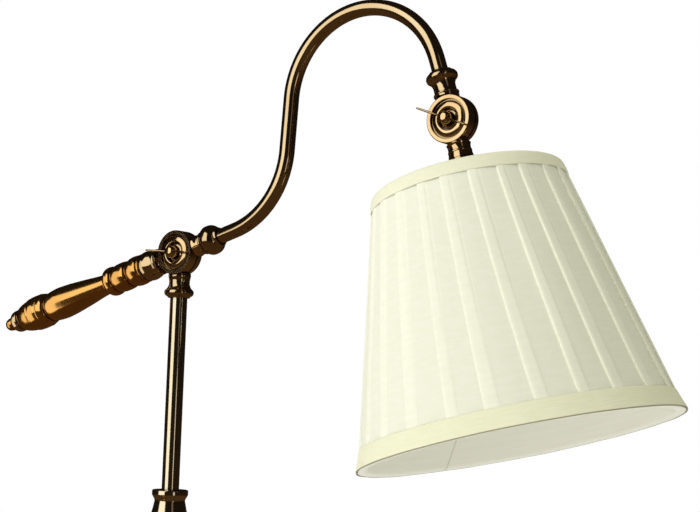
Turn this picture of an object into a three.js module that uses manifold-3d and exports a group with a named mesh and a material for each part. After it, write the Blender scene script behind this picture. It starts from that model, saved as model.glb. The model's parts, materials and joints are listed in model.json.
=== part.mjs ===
// Pharmacy floor lamp: weighted round base, telescoping pole, counterweighted swan-neck arm,
// pleated shade.
// Millimetres, +Z up. The origin is the middle of the base's underside. The arm lies in the XZ plane:
// the shade hangs towards +X, the turned handle points towards -X and the wing nuts face -Y.
import * as THREE from 'three';
import { mergeVertices } from 'three/addons/utils/BufferGeometryUtils.js';
import Module from 'manifold-3d';

const wasm = await Module();
wasm.setup();

// ---- driving dimensions ----
const gap = 0.3; // clearance between pieces that touch
const boreGap = 0.35; // clearance around a rod, pole or tube in its bore

const feltThickness = 2;
const baseRadius = 135;
const baseEdgeHeight = 14;
const baseRise = 26; // from the top of the edge band to the flat hub
const hubRadius = 27;
const coverWall = 1.6;
const recessRadius = 62; // hollow under the weight, round the clamp nut
const recessDepth = 17;
const stemRadius = 5;
const stemBore = 3.4;
const stemHeight = 75; // above the hub's flat
const nutHeight = 5;
const nutRadius = 9.5;
const washerThickness = 2;
const washerRadius = 15;
const inletRadius = 4.2; // hole for the supply cord in the base's edge
const inletHeight = 9;

const lowerPoleRadius = 12.5;
const lowerPoleWall = 1.5;
const lowerPoleLength = 880;
const footPlugLength = 26;
const footCollarHeight = 34;
const vaseOverlap = 55; // length of lower pole inside the vase
const vaseHeight = 112;
const vaseRimRadius = 16.6;
const vaseNeckRadius = 14.1;
const vaseBellyRadius = 21.5;
const bushLength = 46;
const bushWall = 2.2;
const bushDepth = 6; // rim of the vase above the bush
const lockHeight = 42; // lock screw below the vase's rim
const lockScrewRadius = 3;
const lockHeadRadius = 7.5;
const lockHeadLength = 15;

const poleRadius = 8;
const poleWall = 1.2;
const poleShown = 177; // upper pole seen between the vase and the turned neck
const poleHidden = 256; // upper pole inside the vase and the lower pole
const poleInNeck = 11;
const sleeveLength = 38;
const sleeveEnd = 6; // from the sleeve to the pole's lower end
const leadRadius = 2.2;
const leadBelowPole = 400;

const knuckleRadius = 20.7;
const knuckleFront = 9.8; // centre plane to the flat front ring
const knuckleBack = 10.8; // centre plane to the domed back
const knuckleParting = 0.8; // half of the space between the two halves
const sweepGap = 0.6; // a neck's clearance round the other half
const boltRadius = 3;
const boltHeadRadius = 7.4;
const dishRadius = 10;
const dishDepth = 4;
const ringWidth = 4.1; // flat front ring
const cavityInner = 5.6;
const cavityOuter = 13.4;
const neckWall = 1.6; // a neck's radius beyond the pole's
const neckSink = 3.5; // a neck begins this far inside the rim of its half
const beadStand = 4.1; // bead beyond the neck
const poleNeckReach = 21.3; // necks beyond the knuckle's rim
const elbowNeckReach = 8.3;
const wingSpan = 52;
const wingThickness = 2.2;
const wingStand = 10.2; // front ring to the middle of a wing tip

const armPitch = 16.8; // degrees above level at rest
const armStraight = 67.5;
const armBend = 78; // radius of both bends
const armLowerSweep = 69.9;
const armRise = 46.5;
const armUpperSweep = 158.2;
const armEnd = 56.2;
const tubeRadius = 7;
const tubeWall = 1.2;
const collarLength = 20.5;
const tubeSeat = 12; // length of tube inside a collar or neck
const armNeckReach = 23.6;

const rodRadius = 4;
const handleReach = 3.6; // knuckle's rim to the first handle bead
const handleRadius = 14.2;
const gripRadius = 15.6;
const gripNeck = 9.2;
const capRadius = 16.9;
const finialRadius = 6.5;

const shadeTilt = 14.8; // degrees from hanging, towards +X
const shadeHang = 22; // end of the shade's neck to the top rim, along the shade's axis
const shadeTopRadius = 79.8;
const shadeBottomRadius = 130.6;
const shadeHeight = 216.6; // between the rims, along the axis
const topBandWidth = 12;
const bottomBandWidth = 16.5;
const bandThickness = 1;
const coverThickness = 2;
const liningThickness = 0.8;
const frameWire = 1.4; // radius of the rings' and ribs' wire
const ribCount = 6;
const spiderDrop = 11; // spider ring below the top rim
const spiderArms = 3;
const shadeNeckReach = 13.3;
const bellHeight = 20;
const bellRadius = 21;
const bellWall = 1.2;
const nippleRadius = 5;
const nippleBore = 3;
const holderRadius = 19.4;
const holderLength = 50;
const holderWall = 1.6;
const flangeRadius = 22.5;
const ringNutRadius = 25;
const ringNutHeight = 7;
const coreLength = 14;
const coreRadius = 15;
const bulbCapRadius = 13;
const bulbCapLength = 24;
const bulbRadius = 30;
const bulbLength = 80; // glass, from the cap to its end
const bulbWall = 1;
const switchDrop = 30; // switch stem below the holder's flange
const switchStemRadius = 2.2;
const switchReach = 40; // holder's axis to the end of the key

const turnSteps = 12; // facets round small turned pieces
const poleSteps = 16; // facets round poles, tubes and their sockets
const discSteps = 18; // facets round the knuckles' discs
const wideSteps = 24; // facets round the base
const shadeSteps = 32; // facets round the shade
const boreSides = 8; // facets round the inside of the bent tube

// ---- places worked out from the dimensions ----
const degree = Math.PI / 180;
const neckRadius = poleRadius + neckWall;
const beadRadius = neckRadius + beadStand;
const neckStart = knuckleRadius - neckSink;
const ringInner = knuckleRadius - ringWidth;
const poleNeckLength = knuckleRadius + poleNeckReach;
const elbowNeckLength = knuckleRadius + elbowNeckReach;
const armNeckLength = knuckleRadius + armNeckReach;
const shadeNeckLength = knuckleRadius + shadeNeckReach;
const shadeDrop = shadeNeckLength + shadeHang;
const handleStart = knuckleRadius + handleReach;
const collarEnd = elbowNeckLength + collarLength;
const wingReach = knuckleFront + wingStand;
const hubHeight = feltThickness + gap + baseEdgeHeight + baseRise;
const lowerPoleFoot = hubHeight + gap;
const vaseBottom = lowerPoleFoot + lowerPoleLength - vaseOverlap;
const vaseTop = vaseBottom + vaseHeight;
const elbowHeight = vaseTop + poleShown + poleNeckLength;
const poleBottom = vaseTop - poleHidden;
const poleTop = elbowHeight - poleNeckLength + poleInNeck;
const rodStart = knuckleRadius + sweepGap + gap;
const holderTop = shadeDrop + spiderDrop - frameWire - gap; // underside of the holder's flange

const palette = {
  antiqueBrass: [0x8a6238, 0.28, 1],
  goldenBrass: [0xa87438, 0.3, 1],
  castIron: [0x3a3836, 0.8, 0.6],
  zincSteel: [0xa8a8a4, 0.4, 1],
  feltGreen: [0x2f3a30, 1, 0],
  blackNylon: [0x1c1b1a, 0.5, 0],
  leadSleeve: [0xb8923c, 0.6, 0],
  ceramic: [0xe6e2d8, 0.35, 0],
  ivoryCloth: [0xf0eedc, 0.9, 0],
  bandCloth: [0xeeeacb, 0.85, 0],
  liningCloth: [0xd9d8c4, 0.9, 0],
  wireWhite: [0xd8d6cc, 0.5, 0.3],
  opalGlass: [0xf4f1e8, 0.25, 0],
};

// ---- shared geometry helpers ----

// A closed geometry as a solid, with its faces turned outwards.
function solidOf(geometry) {
  const bare = geometry.index ? geometry.toNonIndexed() : geometry.clone();
  bare.deleteAttribute('normal');
  bare.deleteAttribute('uv');
  const merged = mergeVertices(bare, 1e-4);
  const position = merged.attributes.position.array;
  const faces = [];
  let volume = 0;
  const a = new THREE.Vector3();
  const b = new THREE.Vector3();
  const c = new THREE.Vector3();
  for (let i = 0; i < merged.index.count; i += 3) {
    const [p, q, r] = merged.index.array.slice(i, i + 3);
    if (p === q || q === r || r === p) continue;
    faces.push([p, q, r]);
    a.fromArray(position, 3 * p);
    b.fromArray(position, 3 * q);
    c.fromArray(position, 3 * r);
    volume += a.dot(b.cross(c));
  }
  const turned = volume < 0 ? faces.map(([p, q, r]) => [p, r, q]) : faces;
  const triVerts = new Uint32Array(turned.flat());
  return new wasm.Manifold(new wasm.Mesh({ numProp: 3, vertProperties: position, triVerts }));
}

function geometryOf(solid) {
  const mesh = solid.getMesh();
  const geometry = new THREE.BufferGeometry();
  geometry.setAttribute('position', new THREE.BufferAttribute(mesh.vertProperties, mesh.numProp));
  geometry.setIndex(new THREE.BufferAttribute(mesh.triVerts, 1));
  geometry.computeVertexNormals();
  return geometry;
}

// A profile of [radius, height] points turned about +Z; a bore closes the profile on itself.
function turned(profile, steps = turnSteps, bore = 0) {
  const first = profile[0];
  const last = profile[profile.length - 1];
  const inner = bore > 0 ? bore : 0;
  const outline = [[inner, first[1]], ...profile, [inner, last[1]]];
  if (bore > 0) outline.push(outline[0]);
  return latheAboutZ(outline, steps);
}

function latheAboutZ(outline, steps) {
  const points = outline.map(([r, z]) => new THREE.Vector2(Math.max(r, 0), z));
  return new THREE.LatheGeometry(points, steps).rotateX(Math.PI / 2);
}

function rod(radius, from, to, steps = turnSteps, bore = 0) {
  return turned([[radius, from], [radius, to]], steps, bore);
}

// A disc or pin along Y between two y values.
function pinY(radius, from, to, steps = turnSteps) {
  return rod(radius, from, to, steps).rotateX(-Math.PI / 2);
}

// Points on an arc of [radius, height] values, from one angle to the other in degrees.
function arc(r, z, radius, from, to, count) {
  const points = [];
  for (let i = 0; i <= count; i += 1) {
    const angle = (from + ((to - from) * i) / count) * degree;
    points.push([r + radius * Math.cos(angle), z + radius * Math.sin(angle)]);
  }
  return points;
}

// Turns something built along +Z so that it runs along a pitch angle in the XZ plane, 0 being +X.
function aim(geometry, pitch) {
  return geometry.rotateY((90 - pitch) * degree);
}

function cut(body, ...tools) {
  return tools.reduce((rest, tool) => rest.subtract(solidOf(tool)), body);
}

function sub(name, shape, finish, parent) {
  const [color, roughness, metalness] = palette[finish];
  const material = new THREE.MeshStandardMaterial({ color, roughness, metalness });
  const solid = shape.isBufferGeometry ? solidOf(shape) : shape;
  const mesh = new THREE.Mesh(geometryOf(solid), material);
  mesh.name = name;
  parent.add(mesh);
  return mesh;
}

const lamp = new THREE.Group();

// ---- base ----

// Outer line of the base cover above its edge band: stepped rim, shallow dome, cove and flat hub.
function coverLine() {
  const edge = feltThickness + gap + baseEdgeHeight;
  const points = [
    [baseRadius, feltThickness + gap],
    ...arc(baseRadius - 3, edge - 3, 3, 0, 90, 2),
    [baseRadius - 9, edge],
    [baseRadius - 10, edge + 3],
    [baseRadius - 16, edge + 4.5],
  ];
  const domeStart = baseRadius - 16;
  const domeEnd = hubRadius + 22;
  const domeLift = baseRise - 13;
  for (let i = 1; i <= 4; i += 1) {
    const t = i / 4;
    const r = domeStart + (domeEnd - domeStart) * t;
    points.push([r, edge + 4.5 + domeLift * Math.sin((t * Math.PI) / 2) * 0.9]);
  }
  const coveLow = edge + 4.5 + domeLift * 0.9;
  const coveTop = hubHeight - 2.5;
  const domePoints = points.length;
  for (let i = 1; i <= 3; i += 1) {
    const t = i / 3;
    points.push([domeEnd + (hubRadius + 3 - domeEnd) * t, coveLow + (coveTop - coveLow) * t * t]);
  }
  points.push([hubRadius + 1, hubHeight - 0.4], [hubRadius, hubHeight]);
  return { points, domePoints };
}

function inset(points, wall) {
  return points.map(([r, z], i) => [r - wall, i === 0 ? z : z - wall]);
}

function makeBase() {
  const base = new THREE.Group();
  const { points: cover, domePoints } = coverLine();
  const coverInner = inset(cover, coverWall);
  const floor = cover[0][1];
  const stemHole = stemRadius + boreGap;
  const coverOutline = [
    [coverInner[0][0], floor],
    ...cover,
    [stemHole, hubHeight],
    [stemHole, hubHeight - coverWall],
    ...coverInner.slice(1).reverse(),
    [coverInner[0][0], floor],
  ];
  const inletHole = rod(inletRadius + 1 + gap, baseRadius - 12, baseRadius + 4, 12);
  const coverSolid = cut(solidOf(latheAboutZ(coverOutline, wideSteps)), atInlet(inletHole));
  sub('base_cover', coverSolid, 'antiqueBrass', base);

  const weightLine = inset(cover.slice(0, domePoints), coverWall + gap + 0.2);
  const weight = solidOf(turned(weightLine, wideSteps, stemHole));
  const recess = rod(recessRadius, floor - 1, floor + recessDepth, turnSteps);
  const channelWidth = 2 * (inletRadius + 1 + gap);
  const channelTop = inletHeight + channelWidth / 2;
  const channel = new THREE.BoxGeometry(baseRadius, channelWidth, channelTop - floor + 1);
  channel.translate(-baseRadius / 2, 0, (channelTop + floor - 1) / 2);
  sub('base_weight', cut(weight, recess, channel), 'castIron', base);

  sub('base_felt', rod(baseRadius - 4, 0, feltThickness, wideSteps), 'feltGreen', base);

  const washerTop = floor + recessDepth - gap;
  const washer = rod(washerRadius, washerTop - washerThickness, washerTop, turnSteps, stemHole);
  sub('base_washer', washer, 'zincSteel', base);
  const nutTop = washerTop - washerThickness - gap;
  const nut = cut(
    solidOf(rod(nutRadius, nutTop - nutHeight, nutTop, 6)),
    rod(stemHole, nutTop - nutHeight - 1, nutTop + 1, 12),
  );
  sub('base_clamp_nut', nut, 'zincSteel', base);
  const stem = rod(stemRadius, nutTop - nutHeight - 2, hubHeight + stemHeight, 14, stemBore);
  sub('base_stem', stem, 'zincSteel', base);

  const bushing = turned(
    [[inletRadius + 1, baseRadius - 8], [inletRadius + 1, baseRadius + gap],
      [inletRadius + 2.4, baseRadius + gap], [inletRadius + 2, baseRadius + 2.5]],
    14,
    inletRadius - 1,
  );
  sub('cord_inlet_bushing', atInlet(bushing), 'blackNylon', base);
  return base;
}

// Turns something built along +Z to the cord inlet, which looks along -X.
function atInlet(geometry) {
  return aim(geometry, 180).translate(0, 0, inletHeight);
}

// ---- lower pole and vase ----

function makeLowerPole() {
  const stand = new THREE.Group();
  const bore = lowerPoleRadius - lowerPoleWall;
  const poleEnd = lowerPoleFoot + lowerPoleLength;
  sub('lower_pole', rod(lowerPoleRadius, lowerPoleFoot, poleEnd, poleSteps, bore), 'antiqueBrass', stand);

  const plugTop = hubHeight + stemHeight - 4;
  const plug = rod(bore - gap, plugTop - footPlugLength, plugTop, turnSteps, stemRadius + boreGap);
  sub('pole_foot_plug', plug, 'zincSteel', stand);

  const foot = hubHeight + gap;
  const collar = turned(
    [
      [hubRadius - 3, foot],
      ...arc(hubRadius - 5, foot + 4, 4, -60, 70, 3),
      [lowerPoleRadius + 6.5, foot + 9],
      [lowerPoleRadius + 4.5, foot + 15],
      [lowerPoleRadius + 3.5, foot + footCollarHeight - 10],
      ...arc(lowerPoleRadius + 3, foot + footCollarHeight - 5, 3.4, -70, 70, 3),
      [lowerPoleRadius + 1.8, foot + footCollarHeight],
    ],
    poleSteps,
    lowerPoleRadius + boreGap,
  );
  sub('foot_collar', collar, 'antiqueBrass', stand);
  return stand;
}

// Outer line of the vase, from its bottom up to the flat rim that the upper pole enters.
function vaseLine() {
  const down = (d) => vaseTop - d;
  const points = [
    [lowerPoleRadius + 3.2, vaseBottom],
    [lowerPoleRadius + 4.6, vaseBottom + 2],
    [lowerPoleRadius + 4.6, vaseBottom + 5],
    [lowerPoleRadius + 2.6, vaseBottom + 8],
  ];
  const bellyLow = vaseBottom + 12;
  const bellyHigh = down(12);
  const bellyStart = lowerPoleRadius + 3;
  const bellyMiddle = 0.62;
  for (let i = 0; i <= 7; i += 1) {
    const t = i / 7;
    const base = bellyStart + (vaseNeckRadius + 0.3 - bellyStart) * t;
    const swell = Math.sin(Math.PI * t ** (Math.log(0.5) / Math.log(bellyMiddle)));
    points.push([base + (vaseBellyRadius - base) * swell ** 1.5, bellyLow + (bellyHigh - bellyLow) * t]);
  }
  points.push(
    [vaseNeckRadius, down(10.2)],
    [vaseNeckRadius + 1.1, down(7.4)],
    [vaseRimRadius - 0.4, down(5.2)],
    [vaseRimRadius, down(4)],
    [vaseRimRadius, down(0.8)],
    [vaseRimRadius - 0.8, vaseTop],
  );
  return points;
}

function atLock(geometry) {
  return geometry.rotateX(Math.PI / 2).translate(0, 0, vaseTop - lockHeight);
}

function makeVase() {
  const top = new THREE.Group();
  const bushRadius = poleRadius + boreGap + bushWall;
  const bushHole = bushRadius + gap;
  const bushLow = vaseTop - bushDepth - bushLength;
  const poleEnd = lowerPoleFoot + lowerPoleLength;
  const line = vaseLine();
  const vase = cut(
    solidOf(turned(line, poleSteps, poleRadius + boreGap)),
    rod(lowerPoleRadius + boreGap, vaseBottom - 1, poleEnd + gap, poleSteps),
    rod(bushHole, poleEnd, vaseTop - bushDepth, poleSteps),
    atLock(rod(lockScrewRadius + boreGap, 0, vaseBellyRadius + 5, 12)),
  );
  sub('vase_collar', vase, 'antiqueBrass', top);

  const bush = solidOf(rod(bushRadius, bushLow, bushLow + bushLength - gap, poleSteps, poleRadius + boreGap));
  const bushDrilled = cut(bush, atLock(rod(lockScrewRadius + boreGap, 0, vaseBellyRadius, 12)));
  sub('vase_guide_bush', bushDrilled, 'blackNylon', top);
  return top;
}

// Thumb screw that clamps the upper pole: shank, neck bead and ball head.
function makeLockScrew() {
  const turn = new THREE.Group();
  const tip = poleRadius + gap;
  const head = vaseBellyRadius + 2;
  const screw = turned(
    [
      [lockScrewRadius, tip],
      [lockScrewRadius, head],
      [lockHeadRadius - 2.5, head + 0.5],
      [lockHeadRadius - 3, head + 3],
      [lockHeadRadius - 1, head + 5],
      ...arc(lockHeadRadius - 5, head + lockHeadLength - 5, 5, -30, 60, 4),
      [1.6, head + lockHeadLength],
    ],
    16,
  );
  sub('height_lock_screw', atLock(screw), 'goldenBrass', turn);
  return turn;
}

// ---- upper pole ----

function makeUpperPole() {
  const pole = new THREE.Group();
  const bore = poleRadius - poleWall;
  sub('upper_pole', rod(poleRadius, poleBottom, poleTop, poleSteps, bore), 'antiqueBrass', pole);

  const sleeveLow = poleBottom + sleeveEnd;
  const sleeveRadius = lowerPoleRadius - lowerPoleWall - boreGap;
  const sleeve = rod(sleeveRadius, sleeveLow, sleeveLow + sleeveLength, poleSteps, poleRadius + gap);
  sub('pole_slide_sleeve', sleeve, 'blackNylon', pole);

  const studBore = leadRadius + boreGap;
  const stud = turned(
    [
      [bore - gap, poleTop - 24],
      [bore - gap, poleTop - 1],
      [studBore + 1.6, poleTop - 1],
      [studBore + 1.6, poleTop + 7],
    ],
    14,
    studBore,
  );
  sub('swivel_stud', stud, 'zincSteel', pole);

  const leadLow = poleBottom - leadBelowPole;
  sub('pole_lead', rod(leadRadius, leadLow, poleTop + 5, 8), 'leadSleeve', pole);
  return pole;
}

// ---- knuckles: each is a front half with a dished ring and a domed back half, along Y ----

function frontHalf() {
  const face = -knuckleFront;
  const meet = -knuckleParting;
  const hole = boltRadius + boreGap;
  const outline = [
    [hole, meet],
    [cavityInner, meet],
    [cavityInner, meet - 3.2],
    [cavityOuter, meet - 3.2],
    [cavityOuter, meet],
    [knuckleRadius, meet],
    [knuckleRadius, face + 0.9],
    [knuckleRadius - 0.9, face],
    [ringInner + 0.3, face],
    [ringInner - 0.2, face + 1.6],
    [ringInner - 1.3, face + 1.6],
    [ringInner - 1.8, face],
    [ringInner - 3.2, face - 0.3],
    [ringInner - 5, face + 0.8],
    [dishRadius, face + dishDepth],
    [hole, face + dishDepth],
    [hole, meet],
  ];
  return latheAboutZ(outline, discSteps).rotateX(-Math.PI / 2);
}

function backHalf() {
  const back = knuckleBack;
  const meet = knuckleParting;
  const hole = boltRadius + boreGap;
  const outline = [
    [hole, meet],
    [cavityInner, meet],
    [cavityInner, meet + 3.6],
    [cavityOuter, meet + 3.6],
    [cavityOuter, meet],
    [knuckleRadius, meet],
    [knuckleRadius, back - 6],
    [knuckleRadius - 1.2, back - 3.2],
    [knuckleRadius - 4.5, back - 1],
    [boltHeadRadius + 2, back],
    [hole, back],
    [hole, meet],
  ];
  return latheAboutZ(outline, discSteps).rotateX(-Math.PI / 2);
}

// Clears the space that the other half sweeps: side is +1 behind the front half, -1 before the back half.
function sweepCut(side) {
  const near = -side * knuckleParting;
  const far = side * (knuckleBack + 12);
  return pinY(knuckleRadius + sweepGap, Math.min(near, far), Math.max(near, far), discSteps);
}

// Waisted neck with an end bead, from the knuckle outwards; bottom is its far end.
function beadNeck(length, ring) {
  const k = knuckleRadius;
  const ringSpots = [
    [neckRadius + 0.9, k + 2.1],
    [neckRadius + 1.3, k + 2.9],
    [neckRadius + 0.9, k + 3.9],
  ];
  const ringLine = ring ? ringSpots : [];
  return [
    [neckRadius, neckStart],
    [neckRadius + 0.8, k + 0.7],
    ...ringLine,
    [neckRadius + 0.1, k + 4.9],
    [neckRadius, length - 13.4],
    [neckRadius + 0.9, length - 10.6],
    [beadRadius - 1.8, length - 8.4],
    [beadRadius - 0.4, length - 6.6],
    [beadRadius, length - 5],
    [beadRadius - 0.5, length - 2.9],
    [beadRadius - 2, length - 1.1],
    [beadRadius - 4, length],
  ];
}

function plainNeck(length) {
  return [
    [neckRadius, neckStart],
    [neckRadius + 0.7, knuckleRadius + 0.7],
    [neckRadius + 0.1, knuckleRadius + 2.9],
    [neckRadius - 0.2, length - 1],
    [neckRadius - 0.6, length],
  ];
}

function makeBolt(name, parent) {
  const shank = pinY(boltRadius, wingRoot(), knuckleBack + gap + 0.2, 10);
  const head = latheAboutZ(
    [[0, 0], [boltHeadRadius, 0], [boltHeadRadius - 0.4, 1.4], [boltHeadRadius - 2.4, 2.8], [0, 3.6]],
    turnSteps,
  );
  head.rotateX(-Math.PI / 2).translate(0, knuckleBack + gap, 0);
  sub(name, solidOf(shank).add(solidOf(head)), 'goldenBrass', parent);
}

function wingRoot() {
  return -(wingReach - 6.5);
}

function makeFrictionWasher(name, parent) {
  const half = knuckleParting - gap;
  const washer = rod(knuckleRadius - 1.2, -half, half, discSteps, cavityOuter + 1).rotateX(-Math.PI / 2);
  sub(name, washer, 'blackNylon', parent);
}

// Wing nut on the front of a knuckle: flanged hub with a domed cap and two slender wings.
function makeWingNut(name, turn, parent) {
  const seat = knuckleFront - dishDepth + gap;
  const top = wingReach - 1.5;
  const hub = turned(
    [
      [8.4, seat],
      [8.4, seat + 1.2],
      [6.2, seat + 2],
      [5.9, top - 4],
      [5, top - 1.4],
      [3, top],
    ],
    turnSteps,
  );
  const tip = wingSpan / 2;
  const outline = new THREE.Shape();
  outline.moveTo(-3, top - 9);
  outline.lineTo(3, top - 9);
  outline.quadraticCurveTo(9, wingReach - 3.4, tip - 2, wingReach - 2.2);
  outline.absarc(tip - 2.2, wingReach, 2.2, -Math.PI / 2, Math.PI / 2, false);
  outline.quadraticCurveTo(9, wingReach + 2.2, 4, top);
  outline.lineTo(-4, top);
  outline.quadraticCurveTo(-9, wingReach + 2.2, -tip + 2.2, wingReach + 2.2);
  outline.absarc(-tip + 2.2, wingReach, 2.2, Math.PI / 2, (3 * Math.PI) / 2, false);
  outline.quadraticCurveTo(-9, wingReach - 3.4, -3, top - 9);
  const stamping = { depth: wingThickness, bevelEnabled: false, curveSegments: 5 };
  const wings = new THREE.ExtrudeGeometry(outline, stamping);
  wings.translate(0, 0, -wingThickness / 2).rotateX(Math.PI / 2);
  const nutBore = rod(boltRadius + boreGap, seat - 1, -wingRoot() + gap, 10);
  const nut = cut(solidOf(hub).add(solidOf(wings)), nutBore);
  const mesh = sub(name, nut, 'goldenBrass', parent);
  mesh.rotation.set(Math.PI / 2, 0, 0);
  mesh.geometry.rotateZ(-turn * degree);
  return mesh;
}

// ---- elbow ----

function makePoleKnuckle() {
  const neck = new THREE.Group();
  const down = -90;
  const body = cut(
    solidOf(backHalf()).add(solidOf(aim(turned(beadNeck(poleNeckLength, false)), down))),
    sweepCut(-1),
    aim(rod(poleRadius + boreGap, poleNeckLength - poleInNeck - gap, poleNeckLength + 1, poleSteps), down),
    aim(rod(leadRadius + boreGap + 2, 10, poleNeckLength - poleInNeck, 10), down),
  );
  sub('pole_knuckle', body, 'antiqueBrass', neck);
  makeFrictionWasher('elbow_washer', neck);
  makeBolt('elbow_bolt', neck);
  neck.position.z = elbowHeight;
  return neck;
}

function makeArmKnuckle() {
  const stub = plainNeck(elbowNeckLength);
  const handleStub = plainNeck(handleStart - gap);
  const back = armPitch + 180;
  const stubs = solidOf(aim(turned(stub), armPitch)).add(solidOf(aim(turned(handleStub), back)));
  return cut(
    solidOf(frontHalf()).add(stubs),
    sweepCut(1),
    aim(rod(leadRadius + 0.8, 10, elbowNeckLength + 1, 10), armPitch),
    aim(rod(rodRadius + boreGap, rodStart - 1, handleStart + 1, 12), back),
  );
}

// Turned pieces threaded on the handle's rod, each with its outline of [radius, distance from the elbow].
function handlePieces() {
  const s = handleStart;
  const r = handleRadius;
  return [
    ['handle_ferrule', 'antiqueBrass', [
      [r - 2.8, s], [r - 1.8, s + 1.2], [r - 2.1, s + 3.6], [r - 1.2, s + 6.2], [r - 0.3, s + 9.6],
      [r, s + 13.2], [r - 0.5, s + 16.6], [r - 1.7, s + 18.9]]],
    ['handle_ring', 'goldenBrass', [
      [r - 1.4, s + 19.2], [r - 0.4, s + 20], [r - 0.4, s + 21.4], [r - 1.4, s + 22.2]]],
    ['handle_barrel_inner', 'goldenBrass', [
      [r - 1.8, s + 22.5], [r - 0.5, s + 25.2], [r, s + 29.2], [r - 0.3, s + 33.6], [r - 1.5, s + 37],
      [r - 2.4, s + 38.6]]],
    ['handle_barrel_outer', 'goldenBrass', [
      [r - 2.4, s + 38.9], [r - 1.1, s + 41.6], [r - 0.4, s + 45.4], [r - 0.5, s + 50.4],
      [r - 1.2, s + 54.6], [r - 2.2, s + 57]]],
    ['handle_disc', 'goldenBrass', [
      [r - 1.8, s + 57.3], [r - 0.3, s + 59], [r, s + 61.4], [r - 0.5, s + 64.6], [r - 2.3, s + 67.6],
      [gripNeck + 0.6, s + 68.6]]],
    ['handle_grip', 'goldenBrass', gripLine()],
    ['handle_cap', 'goldenBrass', capLine()],
    ['handle_button', 'antiqueBrass', [
      [capRadius - 7.2, s + 190.2], [capRadius - 5.9, s + 191.6], [capRadius - 5.9, s + 196],
      [capRadius - 7.4, s + 198.6]]],
  ];
}

// Grip: narrow behind the disc, swelling to the palm and closing on a groove.
function gripLine() {
  const from = handleStart + 68.9;
  const palm = handleStart + 133;
  const end = handleStart + 148.5;
  const points = [[gripNeck, from]];
  for (let i = 1; i <= 5; i += 1) {
    const t = i / 5;
    const swell = (1 - Math.cos(Math.PI * t ** 0.85)) / 2;
    points.push([gripNeck + 0.3 + (gripRadius - gripNeck - 0.3) * swell, from + (palm - from) * t]);
  }
  points.push([gripRadius - 0.3, palm + 6], [gripRadius - 1.2, palm + 11.5], [gripRadius - 2.7, end]);
  return points;
}

// End cap: round bulb with two thin raised rings, tapering to the button.
function capLine() {
  const from = handleStart + 148.8;
  const r = capRadius;
  return [
    [r - 3.6, from],
    [r - 1.4, from + 2.6],
    [r - 0.3, from + 7],
    [r, from + 13],
    [r - 0.7, from + 21],
    [r - 2, from + 28],
    [r - 4.2, from + 35.4],
    [r - 6.8, from + 41],
  ];
}

function finialLine() {
  const ballCentre = handleStart + 206;
  return [
    [4.6, handleStart + 198.9],
    [4.4, ballCentre - 5],
    ...arc(0, ballCentre, finialRadius, -40, 60, 4),
    [1, ballCentre + finialRadius],
  ];
}

function makeHandle() {
  const handle = new THREE.Group();
  const along = armPitch + 180;
  const hole = rodRadius + boreGap;
  for (const [name, finish, line] of handlePieces()) {
    sub(name, aim(turned(line, turnSteps, hole), along), finish, handle);
  }
  const rodEnd = handleStart + 200;
  const finial = cut(solidOf(turned(finialLine(), 14)), rod(hole, handleStart + 198, rodEnd + gap, 12));
  const placed = new THREE.Group();
  placed.rotation.y = (90 - along) * degree;
  sub('handle_finial', finial, 'goldenBrass', placed);
  handle.add(placed);
  sub('handle_rod', aim(rod(rodRadius, rodStart, rodEnd, 12), along), 'zincSteel', handle);
  return handle;
}

// ---- arm ----

// Centre line of the arm from the elbow: straight, rising bend, straight, swan-neck bend, straight.
function armPath() {
  const path = new THREE.CurvePath();
  const spot = new THREE.Vector2(0, 0);
  let heading = armPitch * degree;
  const forward = (length) => {
    const run = new THREE.Vector2(Math.cos(heading), Math.sin(heading)).multiplyScalar(length);
    const next = spot.clone().add(run);
    path.add(new THREE.LineCurve3(lift(spot), lift(next)));
    spot.copy(next);
  };
  const bend = (sweep) => {
    const side = Math.sign(sweep);
    const centre = spot.clone().add(
      new THREE.Vector2(-Math.sin(heading), Math.cos(heading)).multiplyScalar(side * armBend),
    );
    const start = heading - (side * Math.PI) / 2;
    path.add(new BendCurve(centre, armBend, start, sweep * degree));
    heading += sweep * degree;
    const end = start + sweep * degree;
    spot.set(centre.x + armBend * Math.cos(end), centre.y + armBend * Math.sin(end));
  };
  forward(armStraight);
  bend(armLowerSweep);
  forward(armRise);
  bend(-armUpperSweep);
  forward(armEnd);
  return { path, end: lift(spot), heading: heading / degree };
}

function lift(spot) {
  return new THREE.Vector3(spot.x, 0, spot.y);
}

class BendCurve extends THREE.Curve {
  constructor(centre, radius, start, sweep) {
    super();
    Object.assign(this, { centre, radius, start, sweep });
  }

  getPoint(t, target = new THREE.Vector3()) {
    const angle = this.start + this.sweep * t;
    return target.set(
      this.centre.x + this.radius * Math.cos(angle),
      0,
      this.centre.y + this.radius * Math.sin(angle),
    );
  }
}

// The stretch of a path between two distances from its start, as a curve of its own.
class Stretch extends THREE.Curve {
  constructor(path, from, to) {
    super();
    const length = path.getLength();
    Object.assign(this, { path, low: from / length, high: to / length });
  }

  getPoint(t, target = new THREE.Vector3()) {
    return target.copy(this.path.getPointAt(this.low + (this.high - this.low) * t));
  }
}

function ringPoints(radius, sides) {
  const points = [];
  for (let i = 0; i < sides; i += 1) {
    const angle = (i / sides) * 2 * Math.PI;
    points.push(new THREE.Vector2(radius * Math.cos(angle), radius * Math.sin(angle)));
  }
  return points;
}

// Tube along a curve; a bore leaves it open at both ends.
function sweepTube(curve, radius, bore, sides, steps) {
  const shape = new THREE.Shape(ringPoints(radius, sides));
  if (bore > 0) shape.holes.push(new THREE.Path(ringPoints(bore, boreSides).reverse()));
  return new THREE.ExtrudeGeometry(shape, { extrudePath: curve, steps, bevelEnabled: false });
}

const arm = armPath();
const shadeKnuckleCentre = arm.end;

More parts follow.
